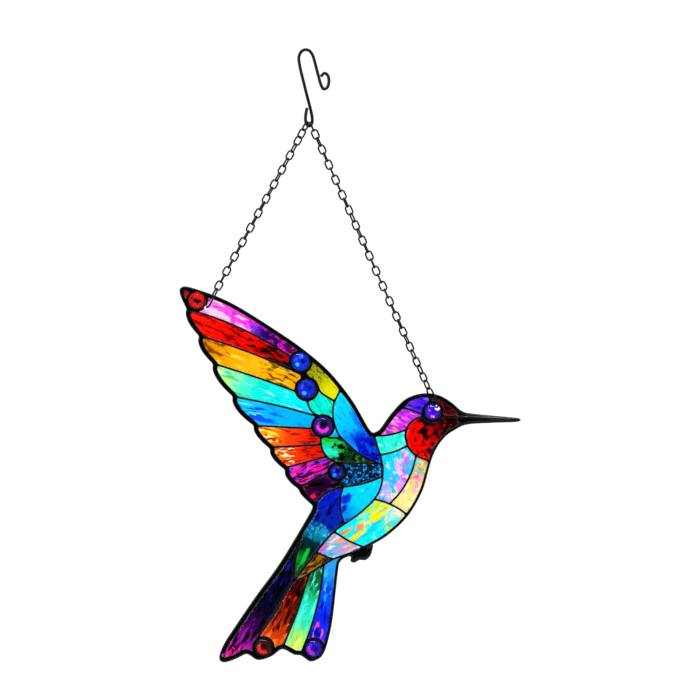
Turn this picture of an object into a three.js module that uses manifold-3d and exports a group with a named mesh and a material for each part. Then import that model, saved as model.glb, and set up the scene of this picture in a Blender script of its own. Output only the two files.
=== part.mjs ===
// A stained glass suncatcher: a hummingbird of leaded panes and domed gems, hung by two chains
// from a bent wire hook. Millimetres, x to the right, z up, the front of the glass towards -y.
// The origin is the inside top of the hook's upper bend, where the whole thing hangs.
import * as THREE from 'three';
import { mergeVertices } from 'three/addons/utils/BufferGeometryUtils.js';
import Module from 'manifold-3d';

const wasm = await Module();
wasm.setup();

// ---- driving dimensions ------------------------------------------------------------------
const FRAME_DEPTH = 3.2;      // leading, front to back
const GLASS_DEPTH = 2.2;      // flat panes
const FIT = 0.3;              // clearance round everything that sits in or passes through a gap
const LINE = 1.2;             // width of a lead line between two panes
const RIM_BROAD = 3.2;        // rim on the feather ends, the nape and the left of the tail
const RIM_LEADING = 2.7;      // rim along the wing's upper edge and over the crown
const RIM_FINE = 1.9;         // rim under the bird, from the throat to the tail
const RIM_TIP = 2.3;
const BEZEL = 1.2;            // ring of lead round a gem
const OVERHANG = 1;           // how far a rim strip starts outside the outline, to be cut back
const BEAK_ROOT = 101.5;      // the beak is solid lead from here on
const BEAK_LENGTH = 45;
const BEAK_TOP = -238;
const BEAK_BOTTOM = -252;
const GEM_FRONT = 2.2;        // how far a gem's dome stands out of the leading
const GEM_GIRDLE = 1.6;       // straight part of a gem's edge
const HOLE_RADIUS = 1.9;      // hanging holes
const CURVE_ERROR = 0.25;     // how far a curve's facets may cut inside it
const CURVE_SAMPLES = 120;
const ROUND_SIDES = 15;       // sides of a gem and its ring
const HOLE_SIDES = 16;
const NOTCH_SIDES = 12;       // of the round patch of lead in a notch
const POOL_SIDES = 8;         // of a pool of solder
const CUT_REACH = 2;          // how far a cutter reaches past each face

const HOOK_WIRE = 2;
const HOOK_SIDES = 6;
const HOOK_STEPS = 42;
const CHAIN_WIRE = 1.1;
const LINK_WIDTH = 5.2;       // over the wire, as every link size below
const END_LINK_WIDTH = 7.6;
const END_LINK_LENGTH = 15.7;
const LINK_TOUCH = 0.12;      // how far neighbouring links press into each other
const LINK_SECTIONS = 8;      // straight lengths of wire in a link
const END_LINK_SECTIONS = 12;

// ---- finishes ----------------------------------------------------------------------------
const LEAD = { roughness: 0.35, metalness: 0.6 };
const GLASS = { roughness: 0.1, metalness: 0 };
const STONE = { roughness: 0.05, metalness: 0 };
const WIRE = { roughness: 0.3, metalness: 0.8 };
const BLACK = 0x0c0c10;
const COLOURS = {
  ruby: 0xe0121a, crimson: 0x7c0c12, magenta: 0xe23ac8, plum: 0x3a0a3c, violet: 0x5a26d8,
  amber: 0xe8a024, orange: 0xe8521a, ochre: 0xa8741c, lime: 0xb8dc3c, green: 0x28a05a,
  cyan: 0x22d4e8, turquoise: 0x28dcb4, azure: 0x1c8cf0, royal: 0x1438d0, navy: 0x0a1858,
  opal: 0xf4dca8, lilac: 0xc8b4f0,
};

// ---- curves in the plane of the bird -------------------------------------------------------
const flat = (pairs) => pairs.map(([x, z]) => new THREE.Vector2(x, z));

// The fewest of these points that still follow them closely.
function thinned(points) {
  const first = points[0];
  const last = points[points.length - 1];
  const chord = last.clone().sub(first).normalize();
  const gaps = points.map((point) => Math.abs(point.clone().sub(first).cross(chord)));
  const widest = gaps.indexOf(Math.max(...gaps));
  if (gaps[widest] < CURVE_ERROR) return [first, last];
  return [...thinned(points.slice(0, widest + 1)).slice(0, -1), ...thinned(points.slice(widest))];
}

// A smooth line through a few points.
const smooth = (pairs) => thinned(new THREE.SplineCurve(flat(pairs)).getSpacedPoints(CURVE_SAMPLES));

// A bowed line from one point to another; a positive bow swells to the left of the way it runs.
function bowed(x0, z0, x1, z1, bow = 0) {
  const start = new THREE.Vector2(x0, z0);
  const end = new THREE.Vector2(x1, z1);
  const along = end.clone().sub(start);
  const left = new THREE.Vector2(-along.y, along.x).normalize();
  const handle = start.clone().lerp(end, 0.5).addScaledVector(left, 2 * bow);
  return thinned(new THREE.QuadraticBezierCurve(start, handle, end).getPoints(CURVE_SAMPLES));
}

// One rounded feather end between two notches, fuller towards its upper end: its two handles sit
// at these shares of its length, the upper one so many times further out.
const LOW_HANDLE = 0.35;
const HIGH_HANDLE = 0.85;
const FULLER = 1.75;

function scallop([x0, z0], [x1, z1], bulge) {
  const start = new THREE.Vector2(x0, z0);
  const end = new THREE.Vector2(x1, z1);
  const along = end.clone().sub(start);
  const out = new THREE.Vector2(-along.y, along.x).normalize();
  const low = start.clone().addScaledVector(along, LOW_HANDLE).addScaledVector(out, bulge);
  const high = start.clone().addScaledVector(along, HIGH_HANDLE)
    .addScaledVector(out, FULLER * bulge);
  return thinned(new THREE.CubicBezierCurve(start, low, high, end).getPoints(CURVE_SAMPLES));
}

// The same line moved sideways, to its left where the distance is positive.
function shifted(points, distance) {
  return points.map((point, i) => {
    const before = points[Math.max(i - 1, 0)];
    const after = points[Math.min(i + 1, points.length - 1)];
    const into = point.clone().sub(before).normalize();
    const outof = after.clone().sub(point).normalize();
    const way = into.clone().add(outof).normalize();
    const corner = into.lengthSq() && outof.lengthSq() ? way.dot(into) : 1;
    return point.clone().addScaledVector(new THREE.Vector2(-way.y, way.x), distance / corner);
  });
}

// ---- solids ------------------------------------------------------------------------------
function toSolid(geometry) {
  const bare = geometry.clone();
  bare.deleteAttribute('normal');
  bare.deleteAttribute('uv');
  const merged = mergeVertices(bare, 1e-4);
  const corners = Array.from(merged.index.array);
  const kept = [];
  for (let i = 0; i < corners.length; i += 3) {
    const [a, b, c] = corners.slice(i, i + 3);
    if (a !== b && b !== c && c !== a) kept.push(a, b, c);
  }
  return new wasm.Manifold(new wasm.Mesh({
    numProp: 3,
    vertProperties: new Float32Array(merged.attributes.position.array),
    triVerts: new Uint32Array(kept),
  }));
}

function toGeometry(solid) {
  const mesh = solid.getMesh();
  const geometry = new THREE.BufferGeometry();
  geometry.setAttribute('position', new THREE.BufferAttribute(mesh.vertProperties, 3));
  geometry.setIndex(new THREE.BufferAttribute(mesh.triVerts, 1));
  geometry.computeVertexNormals();
  return geometry;
}

const join = (solids) => solids.reduce((whole, next) => whole.add(next));

// A flat plate of the given outline, centred on the plane of the bird.
function plate(points, depth) {
  const geometry = new THREE.ExtrudeGeometry(new THREE.Shape(points), {
    depth, bevelEnabled: false,
  });
  geometry.rotateX(Math.PI / 2);
  geometry.translate(0, depth / 2, 0);
  return toSolid(geometry);
}

// A strip along a line, reaching so far to its left and so far to its right.
function strip(points, left, right, depth) {
  return plate([...shifted(points, -right), ...shifted(points, left).reverse()], depth);
}

function disc(x, z, radius, depth, sides = ROUND_SIDES) {
  const geometry = new THREE.CylinderGeometry(radius, radius, depth, sides);
  geometry.translate(x, 0, z);
  return toSolid(geometry);
}

// ---- the bird's outline, clockwise from the wing tip -----------------------------------------
const NOTCHES = [
  [5.2, -303], [-4.4, -292], [-13.4, -279], [-23.4, -265], [-34.3, -249.5],
  [-48.2, -230.2], [-61.3, -208.5], [-70.6, -190], [-78.9, -171.7],
];
const BULGES = [0.9, 2, 2, 2, 2.9, 2.9, 2.7, 2.5];
const WING_TIP = [-80.5, -156.5];
const WING_ROOT = [46, -254];
const BEAK_TIP = [144.3, -245.4];
const TAIL_CORNER = [-56.7, -406.2];

const OUTLINE = [
  { rim: RIM_LEADING, line: smooth([WING_TIP, [-65, -160.8], [-47, -168.7], [-25, -182.2],
    [-3.5, -196.7], [15.5, -212.7], [31.5, -232.5], [43, -252], WING_ROOT]) },
  { rim: RIM_BROAD, line: smooth([WING_ROOT, [50, -251.5], [57.3, -241.4], [66.6, -231.9]]) },
  { rim: RIM_LEADING, line: smooth([[66.6, -231.9], [73, -229], [81, -227.7], [89, -229],
    [96.3, -232.9], [105.5, -240.1]]) },
  { rim: RIM_BROAD, line: smooth([[105.5, -240.1], [114, -241.6], [137, -243.8],
    [142.3, -244.4], BEAK_TIP]) },
  { rim: RIM_BROAD, line: smooth([BEAK_TIP, [142.5, -246.7], [136.5, -247.3], [125.5, -247.6],
    [106.5, -249.1]]) },
  { rim: RIM_FINE, line: smooth([[106.5, -249.1], [94.8, -255.6], [86.6, -266.5],
    [82.3, -279.5], [77.8, -294], [68.5, -309.8], [55.9, -321.9], [45.9, -328.2]]) },
  { rim: RIM_FINE, line: smooth([[45.9, -328.2], [30, -336.2], [25.9, -337.9], [23.3, -340.3],
    [22.3, -344.3], [20.2, -364], [18.1, -380.2], [15.5, -392.5], [13.5, -399]]) },
  { rim: RIM_FINE, line: smooth([[13.5, -399], [10.6, -403.8], [4.8, -406.6], [0.7, -405.3],
    [-3, -402.5]]) },
  { rim: RIM_BROAD, line: smooth([[-3, -402.5], [-6.9, -402.2], [-14.3, -398.4], [-18, -399.8],
    [-22.4, -403.2], [-30.4, -405.7], [-34.4, -404.2], [-38.9, -401.5], [-43.1, -403.2],
    [-48.6, -405.9], [-54.2, -407.2]]) },
  { rim: RIM_TIP / 2, line: smooth([[-54.2, -407.2], TAIL_CORNER, [-57.2, -403.7],
    [-56.5, -400.5]]) },
  { rim: RIM_BROAD, line: smooth([[-56.5, -400.5], [-52.1, -391.6], [-33.3, -363.8],
    [-19.8, -345.4], [-8.7, -328.1], [3.3, -307.4], NOTCHES[0]]) },
  ...BULGES.map((bulge, i) => ({
    rim: RIM_BROAD, line: scallop(NOTCHES[i], NOTCHES[i + 1], bulge),
  })),
  { rim: RIM_TIP, line: smooth([NOTCHES[8], [-82.2, -165], [-83.7, -160], [-82.9, -157.3],
    WING_TIP]) },
];

const FEET = smooth([[45.8, -328.4], [44.8, -332.7], [43.5, -336.4], [40.2, -339.2],
  [36.5, -338.8], [32.4, -341], [29.9, -339.3], [31, -337], [29.3, -336.2]]);

const bodyOutline = OUTLINE.flatMap(({ line }) => line.slice(0, -1));

// ---- lead lines --------------------------------------------------------------------------
const LINES = [
  // between the flight feathers, from the notch in to the coverts
  bowed(-77, -172, -8, -204.5, 3.2),
  bowed(-70, -189.5, -1, -216, 1.5),
  bowed(-60, -208.3, -5, -227, 0.5),
  bowed(-47, -230, 8, -243, 0.8),
  bowed(-33, -249.4, 7, -251.4, 0.2),
  bowed(-22.5, -263.8, 11, -262),
  bowed(-12.5, -277.3, 15, -269.8),
  bowed(-3.5, -290, 17, -279.5),
  smooth([[5.5, -302.5], [11, -296.6], [16.5, -292.9], [26, -290.2]]),
  // coverts
  smooth([[-1, -213], [3, -217.5], [8.5, -222.5], [9.5, -225.5], [12, -228.5], [19.5, -233]]),
  smooth([[1, -231], [2.7, -237], [5.7, -241], [11, -243.6]]),
  smooth([[24.5, -223.5], [19.5, -234], [18.5, -241], [19.5, -248], [22.6, -255.5],
    [29.5, -262.5], [38, -269.5], [51, -275.3]]),
  smooth([[10.6, -256], [10.8, -262.5], [12.8, -268], [17, -272.2], [23, -274], [32, -274.4],
    [51, -274.9]]),
  bowed(15, -257.5, 23.3, -257.5),
  bowed(52, -283, 25.5, -290.2, 1.3),
  bowed(21.8, -285, 25.6, -290.4),
  // back and side
  bowed(25.5, -290.2, 26, -314.3, -2.5),
  bowed(5.3, -302.5, -8, -353.5, -2.7),
  smooth([[45.7, -254.5], [48.6, -264.7], [51.7, -276], [51.2, -287.5], [46.5, -298],
    [35, -308.8], [19.5, -319.8], [7.5, -333.5], [-8.3, -353.8]]),
  // head and neck
  bowed(60.5, -236, 80, -242.8, 0.5),
  bowed(83, -228.5, 83, -235.5),
  smooth([[80.5, -242.4], [73, -245.2], [68.7, -249.5], [66.9, -255.5], [68.4, -262.8],
    [74, -269.2], [84.5, -273.6]]),
  bowed(90, -242.9, 103, -243.4),
  bowed(45.8, -256.2, 67.4, -252, -1.3),
  bowed(50.2, -269, 68.5, -262.7, -0.9),
  // breast and belly
  bowed(74, -269.3, 56.4, -301.5, 3.1),
  bowed(46, -298.3, 69.8, -310.2, 1.8),
  bowed(19.3, -320, 40, -330.8, -0.9),
  bowed(7.3, -333.7, 19, -338.6),
  smooth([[-8.3, -353.8], [-0.5, -350.2], [7.3, -345], [18.5, -338.4], [27, -335.4],
    [40, -330.4]]),
  // between the tail feathers
  bowed(-8, -353.5, -31.7, -391.3, 0.7),
  bowed(2.7, -348.2, -14.5, -396.5, 1),
  bowed(12.6, -341.8, -2.4, -400.5, 2.5),
];

// ---- gems and hanging holes ----------------------------------------------------------------
const GEMS = [
  { name: 'wing_tip_gem', at: [-72, -166], radius: 6, colour: COLOURS.ruby },
  { name: 'upper_wing_gem', at: [-3, -207], radius: 6.6, colour: COLOURS.royal },
  { name: 'lower_wing_gem', at: [1.2, -225], radius: 6.8, colour: COLOURS.royal },
  { name: 'covert_gem', at: [12, -249.7], radius: 6.6, colour: COLOURS.violet },
  { name: 'flank_gem', at: [21.2, -280.3], radius: 5.1, colour: COLOURS.navy },
  { name: 'eye_gem', at: [85, -240.2], radius: 5.8, colour: COLOURS.violet },
  { name: 'red_tail_gem', at: [-27.7, -397.1], radius: 6.1, colour: COLOURS.crimson },
  { name: 'violet_tail_gem', at: [5.9, -397.9], radius: 6, colour: COLOURS.violet },
];
const WING_HOLE = [-65.6, -171.1];
const EYE_HOLE = [88.2, -237.4];
const HOLES = [WING_HOLE, EYE_HOLE];
const SOLDER_POOLS = [[-2.2, -401.2], [-1.2, -216.4]];
const POOL_RADIUS = 1.9;

// ---- panes: a point inside each and its colour ------------------------------------------------
const PANES = [
  ['wing_tip_pane', -80, -161.5, COLOURS.ruby],
  ['pink_feather', -40, -179, COLOURS.magenta],
  ['red_feather', -43, -191, COLOURS.ruby],
  ['amber_feather', -37, -209, COLOURS.amber],
  ['green_feather', -30, -226, COLOURS.lime],
  ['blue_feather', -20, -242, COLOURS.azure],
  ['upper_orange_feather', -10, -257, COLOURS.orange],
  ['lower_orange_feather', -3, -268, COLOURS.orange],
  ['magenta_feather', 0, -281, COLOURS.magenta],
  ['plum_feather', 10, -289, COLOURS.plum],
  ['shoulder_pane', 11, -218, COLOURS.lime],
  ['covert_pane', 11, -235.5, COLOURS.cyan],
  ['long_leaf_pane', 30, -249, COLOURS.azure],
  ['triangle_pane', 19.8, -255.4, COLOURS.azure],
  ['green_leaf_pane', 23, -266, COLOURS.green],
  ['flank_pane', 38, -280.5, COLOURS.navy],
  ['nape_pane', 74.5, -234.5, COLOURS.violet],
  ['crown_pane', 95, -238, COLOURS.crimson],
  ['neck_pane', 62, -246.5, COLOURS.magenta],
  ['throat_pane', 80, -259, COLOURS.ruby],
  ['collar_pane', 58, -261, COLOURS.turquoise],
  ['chest_pane', 61, -282, COLOURS.cyan],
  ['breast_pane', 74, -286, COLOURS.opal],
  ['belly_pane', 46.5, -315.5, COLOURS.cyan],
  ['vent_pane', 24.5, -331, COLOURS.lilac],
  ['rump_pane', 8.5, -340, COLOURS.ochre],
  ['side_pane', 36.5, -299, COLOURS.azure],
  ['back_pane', 13, -309, COLOURS.royal],
  ['navy_tail_feather', -30, -369, COLOURS.navy],
  ['orange_tail_feather', -16.5, -375.5, COLOURS.orange],
  ['green_tail_feather', 0, -369, COLOURS.green],
  ['blue_tail_feather', 14, -365.5, COLOURS.azure],
];

// ---- the leading and the glass it holds --------------------------------------------------------
// Every strip, ring and patch of lead, each grown by the given clearance.
function leadWork(grown, depth) {
  const pieces = OUTLINE.map(({ rim, line }) => strip(line, OVERHANG, rim + grown, depth));
  for (const [x, z] of [...NOTCHES, WING_ROOT, TAIL_CORNER]) {
    pieces.push(disc(x, z, RIM_BROAD + grown, depth, NOTCH_SIDES));
  }
  for (const line of LINES) pieces.push(strip(line, LINE / 2 + grown, LINE / 2 + grown, depth));
  for (const { at: [x, z], radius } of GEMS) {
    pieces.push(disc(x, z, radius + FIT + BEZEL + grown, depth));
  }
  for (const [x, z] of SOLDER_POOLS) {
    pieces.push(disc(x, z, POOL_RADIUS + grown, depth, POOL_SIDES));
  }
  const beakRoot = flat([[BEAK_ROOT, BEAK_TOP], [BEAK_ROOT, BEAK_BOTTOM]]);
  pieces.push(strip(beakRoot, BEAK_LENGTH, grown, depth));
  return join(pieces);
}

const through = FRAME_DEPTH + 2 * CUT_REACH;
const hangingHoles = join(HOLES.map(([x, z]) => disc(x, z, HOLE_RADIUS, through, HOLE_SIDES)));

function leadFrame() {
  const bird = plate(bodyOutline, FRAME_DEPTH);
  const feet = plate(FEET, FRAME_DEPTH);
  const seats = join(GEMS.map(({ at: [x, z], radius }) => disc(x, z, radius + FIT, through)));
  return bird.intersect(leadWork(0, through)).add(feet).subtract(seats)
    .subtract(hangingHoles);
}

function glassField() {
  return plate(bodyOutline, GLASS_DEPTH).subtract(leadWork(FIT, through))
    .subtract(hangingHoles);
}

// True if the point lies on the front face of a flat piece.
function covers(solid, x, z) {
  const { vertProperties: place, triVerts: corners } = solid.getMesh();
  const at = (i) => new THREE.Vector3(place[3 * i], place[3 * i + 1], place[3 * i + 2]);
  const above = new THREE.Ray(new THREE.Vector3(x, -through, z), new THREE.Vector3(0, 1, 0));
  const hit = new THREE.Vector3();
  for (let i = 0; i < corners.length; i += 3) {
    const [a, b, c] = [corners[i], corners[i + 1], corners[i + 2]].map(at);
    if (above.intersectTriangle(a, b, c, false, hit)) return true;
  }
  return false;
}

// A domed gem: a low dome at the back, a straight girdle and a high dome in front. The domes'
// rings lie at these shares of the radius.
const FRONT_RINGS = [0, 0.45, 0.82, 1];
const BACK_RINGS = [1, 0.7, 0];

function gem({ at: [x, z], radius }) {
  const front = FRAME_DEPTH / 2 + GEM_FRONT;
  const back = FRAME_DEPTH / 2;
  const girdle = GEM_GIRDLE / 2;
  const dome = (share, top) => {
    const height = girdle + (top - girdle) * Math.sqrt(1 - share * share);
    return [radius * share, height];
  };
  const profile = [
    ...FRONT_RINGS.map((share) => dome(share, front)).map(([r, y]) => [r, -y]),
    ...BACK_RINGS.map((share) => dome(share, back)),
  ].map(([r, y]) => new THREE.Vector2(r, y));
  const geometry = new THREE.LatheGeometry(profile, ROUND_SIDES);
  geometry.translate(x, 0, z);
  return toSolid(geometry);
}

// ---- hook, chains and end links ------------------------------------------------------------
// The hook's eye: a narrow loop turned about the upright, its wire running on a centre line that
// is this far from the middle on each side.
const EYE_BOTTOM = new THREE.Vector3(2.6, 0, -49.7);
const EYE_TURN = THREE.MathUtils.degToRad(50);
const EYE_HALF = 3.4;

function onEye(across, up) {
  const side = new THREE.Vector3(Math.cos(EYE_TURN), Math.sin(EYE_TURN), 0);
  return EYE_BOTTOM.clone().addScaledVector(side, across).add(new THREE.Vector3(0, 0, up));
}

// The wire's axis: from the curl on the short leg, over the top, down the long leg, round the eye.
function hookAxis() {
  const upper = [
    [11, -16.2], [13.2, -14.4], [15.3, -16.2], [15.9, -20.2], [14.9, -23.9], [12.9, -25.2],
    [11, -23], [9, -16.5], [6.5, -7], [5.1, -2.5], [2.9, 0.5], [0, 1.2], [-2.7, -0.3],
    [-4.1, -4], [-3.6, -9], [0.2, -25],
  ].map(([x, z]) => new THREE.Vector3(x, 0, z));
  const lower = [[1, 5], [0.75, 1.2], [0, 0], [-0.85, 1.6], [-1, 4.5], [-0.9, 8], [-0.6, 11.4]]
    .map(([share, up]) => onEye(share * EYE_HALF, up));
  return new THREE.CatmullRomCurve3([...upper, ...lower], false, 'centripetal');
}

function hook() {
  const section = new THREE.Shape();
  section.absarc(0, 0, HOOK_WIRE / 2, 0, 2 * Math.PI);
  const geometry = new THREE.ExtrudeGeometry(section, {
    steps: HOOK_STEPS, bevelEnabled: false, curveSegments: HOOK_SIDES / 2, extrudePath: hookAxis(),
  });
  return toSolid(geometry);
}

// One oval link round the origin, long along z and flat in the x-z plane. Its wire is three-sided
// with a corner to the inside (the tube's negative radius turns it there), where links touch.
function link(length, width, sections) {
  const corner = CHAIN_WIRE * 2 / 3;
  const flatSide = CHAIN_WIRE / 3;
  const half = width / 2 - flatSide;
  const geometry = new THREE.TorusGeometry(half / Math.cos(Math.PI / sections), -corner, 3, sections);
  geometry.rotateZ(Math.PI / sections);
  geometry.rotateX(Math.PI / 2);
  const stretch = (length - width) / 2;
  const place = geometry.attributes.position;
  for (let i = 0; i < place.count; i += 1) {
    place.setZ(i, place.getZ(i) + Math.sign(place.getZ(i)) * stretch);
  }
  return geometry;
}

// Stands a link at a point, its length along a direction, turned about that direction.
function placed(geometry, centre, direction, turn) {
  const along = direction.clone().normalize();
  const across = new THREE.Vector3(0, 1, 0).cross(along).normalize();
  const basis = new THREE.Matrix4().makeBasis(across, along.clone().cross(across), along);
  const matrix = new THREE.Matrix4().makeTranslation(centre).multiply(basis)
    .multiply(new THREE.Matrix4().makeRotationZ(THREE.MathUtils.degToRad(turn)));
  return toSolid(geometry.clone().applyMatrix4(matrix));
}

// A row of links from one point to another, each turned by its own number of degrees. Neighbours
// press into each other a little where they touch.
function chain(from, to, turns) {
  const way = to.clone().sub(from);
  const pitch = way.length() / (turns.length - 1);
  const shape = link(pitch + 2 * CHAIN_WIRE - LINK_TOUCH, LINK_WIDTH, LINK_SECTIONS);
  return join(turns.map((turn, i) => {
    const centre = from.clone().addScaledVector(way, i / (turns.length - 1));
    return placed(shape, centre, way, turn);
  }));
}

// The larger link at a chain's foot, its lower end through the hanging hole.
function endLink({ foot, up, turn }) {
  const span = END_LINK_LENGTH - CHAIN_WIRE;
  const way = new THREE.Vector3(up[0], 0, up[1]).normalize();
  const centre = new THREE.Vector3(foot[0], 0, foot[1]).addScaledVector(way, span / 2);
  const shape = link(END_LINK_LENGTH, END_LINK_WIDTH, END_LINK_SECTIONS);
  return placed(shape, centre, way.negate(), turn);
}

const LEFT_END = { foot: [-65.4, -170.8], up: [0.475, 0.88], turn: 73 };
const RIGHT_END = { foot: [88.1, -237.3], up: [-0.42, 0.907], turn: 62 };

// A chain runs from one point to another. Links stand at right angles to their neighbours, and
// the whole chain is twisted: so many degrees at certain links, evenly in between.
const LEFT_CHAIN = {
  from: [0.5, -1.7, -50], to: [-57.5, 0, -156.1], count: 23, firstTurn: 0,
  twist: [[0, 50], [1, 60], [2, 20], [22, 2]],
};
const RIGHT_CHAIN = {
  from: [4.6, 1.7, -50], to: [81.2, 0, -222.2], count: 35, firstTurn: 90,
  twist: [[0, 0], [2, 18], [7, 0], [12, 25], [20, 0], [34, 36]],
};

function twistAt(knots, i) {
  const next = Math.max(knots.findIndex(([at]) => at >= i), 1);
  const [before, low] = knots[next - 1];
  const [after, high] = knots[next];
  return THREE.MathUtils.mapLinear(i, before, after, low, high);
}

function hangingChain({ from, to, count, firstTurn, twist }) {
  const turns = Array.from({ length: count }, (_, i) => (
    firstTurn + 90 * (i % 2) + twistAt(twist, i)));
  return chain(new THREE.Vector3(...from), new THREE.Vector3(...to), turns);
}

// ---- the whole object ----------------------------------------------------------------------
const group = new THREE.Group();

function add(name, solid, colour, finish) {
  const material = new THREE.MeshStandardMaterial({ color: colour, ...finish });
  const mesh = new THREE.Mesh(toGeometry(solid), material);
  mesh.name = name;
  group.add(mesh);
}

add('lead_frame', leadFrame(), BLACK, LEAD);

const field = glassField().decompose();
for (const [name, x, z, colour] of PANES) {
  add(name, field.find((piece) => covers(piece, x, z)), colour, GLASS);
}

for (const stone of GEMS) {
  add(stone.name, gem(stone).subtract(hangingHoles), stone.colour, STONE);
}

add('hook', hook(), BLACK, WIRE);
add('chain_left', hangingChain(LEFT_CHAIN), BLACK, WIRE);
add('chain_right', hangingChain(RIGHT_CHAIN), BLACK, WIRE);
add('end_link_left', endLink(LEFT_END), BLACK, WIRE);
add('end_link_right', endLink(RIGHT_END), BLACK, WIRE);

export default group;
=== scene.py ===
# %% [markdown]
# # A stained glass hummingbird suncatcher
# The real object is a flat bird of coloured glass held in black leading, with round glass gems
# set into it. Two fine chains lead from small holes in it up to a bent wire hook.
# The CAD model already has every piece at its true size. Here each piece gets its fine shape:
# rounded leading, rippled glass, domed gems and round wire. Then come glass colours and light.

# %% Load the CAD frame
import math
import random

import bpy
import numpy as np
from mathutils import Matrix, Vector, kdtree
from mathutils.geometry import delaunay_2d_cdt


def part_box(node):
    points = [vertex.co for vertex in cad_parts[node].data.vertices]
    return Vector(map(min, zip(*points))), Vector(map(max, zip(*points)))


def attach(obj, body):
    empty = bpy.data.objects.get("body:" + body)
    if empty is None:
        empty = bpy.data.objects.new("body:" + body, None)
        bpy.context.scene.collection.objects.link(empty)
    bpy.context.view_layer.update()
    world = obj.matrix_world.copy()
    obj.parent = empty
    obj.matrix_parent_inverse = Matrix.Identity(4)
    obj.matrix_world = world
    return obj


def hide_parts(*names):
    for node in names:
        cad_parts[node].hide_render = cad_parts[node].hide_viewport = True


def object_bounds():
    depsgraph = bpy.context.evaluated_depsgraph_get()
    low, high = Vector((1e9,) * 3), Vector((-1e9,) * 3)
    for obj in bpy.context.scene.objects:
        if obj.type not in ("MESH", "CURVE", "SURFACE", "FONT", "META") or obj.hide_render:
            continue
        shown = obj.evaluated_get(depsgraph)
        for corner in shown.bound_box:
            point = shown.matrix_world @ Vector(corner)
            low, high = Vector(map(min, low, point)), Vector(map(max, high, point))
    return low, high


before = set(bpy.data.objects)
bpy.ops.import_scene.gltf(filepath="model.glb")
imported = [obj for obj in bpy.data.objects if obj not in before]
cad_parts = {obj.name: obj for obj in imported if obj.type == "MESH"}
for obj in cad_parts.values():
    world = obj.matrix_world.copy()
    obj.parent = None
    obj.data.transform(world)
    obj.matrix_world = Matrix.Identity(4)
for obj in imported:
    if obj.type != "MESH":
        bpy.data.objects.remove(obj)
cad_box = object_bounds()
MM = 0.001
print("CAD nodes:", len(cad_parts), "box:", cad_box)

# %% [markdown]
# ## Reading the flat pieces
# Leading and panes are flat plates, so their front faces hold all there is to know about their
# outlines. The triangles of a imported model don't share corners, so equal corners are first
# welded into one. An edge that only one front triangle uses lies on an outline, and walking
# along such edges gives closed loops. Reading them here keeps the fine pieces true to the CAD.

# %% Weld a node's corners


def welded(name):
    """Corner points in millimetres, and triangles, of a CAD node."""
    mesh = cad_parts[name].data
    seen = {}
    points = []
    number = []
    for vertex in mesh.vertices:
        key = tuple(round(value / MM, 3) for value in vertex.co)
        if key not in seen:
            seen[key] = len(points)
            points.append(key)
        number.append(seen[key])
    triangles = [[number[v] for v in face.vertices] for face in mesh.polygons]
    return np.array(points), [t for t in triangles if len(set(t)) == 3]


# %% Walk round the front outlines


def front_loops(name):
    """The closed outlines of a flat node's front face, as x, z arrays in millimetres."""
    points, triangles = welded(name)
    front = points[:, 1].min() + 0.01
    following = {}
    for triangle in triangles:
        if all(points[v][1] < front for v in triangle):
            for a, b in zip(triangle, triangle[1:] + triangle[:1]):
                following.setdefault(a, set()).add(b)
    for a in list(following):
        for b in list(following[a]):
            if a in following.get(b, ()):
                following[a].discard(b)
                following[b].discard(a)
    loops = []
    for start in following:
        while following[start]:
            loop = [start]
            while True:
                step = following[loop[-1]].pop()
                if step == start:
                    break
                loop.append(step)
            loops.append(points[loop][:, [0, 2]])
    return loops


def slot_of(node):
    """The record's material slot of a CAD node."""
    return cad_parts[node].data.materials[0].name


lead_loops = front_loops("lead_frame")
print("outlines in the leading:", len(lead_loops))

# %% [markdown]
# ## Smooth outlines
# The CAD outlines are made of short straight cuts. On the real bird every line is a smooth
# curve that meets the next one at a crisp corner, softened a little by solder. So each stretch
# between two corners is turned back into a curve that runs through its points (a Catmull-Rom
# curve), and then the corners are eased by averaging neighbours. This keeps the points that
# the CAD gives, which a plain smoothing of the whole outline would shrink.

# %% Outline tools
CORNER_DEGREES = 36


def length_of(loop):
    return float(np.linalg.norm(loop - np.roll(loop, -1, axis=0), axis=1).sum())


def area_of(loop):
    x, z = loop.T
    return 0.5 * float(np.dot(x, np.roll(z, -1)) - np.dot(z, np.roll(x, -1)))


def without_crumbs(loop, least=0.12):
    """Drops points that lie almost on the point before."""
    kept = [loop[0]]
    for point in loop[1:]:
        if np.linalg.norm(point - kept[-1]) > least:
            kept.append(point)
    if np.linalg.norm(kept[-1] - kept[0]) < least:
        kept.pop()
    return np.array(kept)


def curve_through(points, step):
    """Evenly spaced points on a curve through these, without the last one."""
    out = []
    padded = np.vstack([2 * points[0] - points[1], points, 2 * points[-1] - points[-2]])
    for p0, p1, p2, p3 in zip(padded, padded[1:], padded[2:], padded[3:]):
        t0 = 0.0
        t1, t2, t3 = np.cumsum([max(np.linalg.norm(b - a), 1e-6) ** 0.5
                                for a, b in ((p0, p1), (p1, p2), (p2, p3))])
        count = max(1, round(np.linalg.norm(p2 - p1) / step))
        for t in t1 + (t2 - t1) * np.arange(count) / count:
            a1 = (t1 - t) / (t1 - t0) * p0 + (t - t0) / (t1 - t0) * p1
            a2 = (t2 - t) / (t2 - t1) * p1 + (t - t1) / (t2 - t1) * p2
            a3 = (t3 - t) / (t3 - t2) * p2 + (t - t2) / (t3 - t2) * p3
            b1 = (t2 - t) / (t2 - t0) * a1 + (t - t0) / (t2 - t0) * a2
            b2 = (t3 - t) / (t3 - t1) * a2 + (t - t1) / (t3 - t1) * a3
            out.append((t2 - t) / (t2 - t1) * b1 + (t - t1) / (t2 - t1) * b2)
    return out


# %% Smooth one outline


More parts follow.
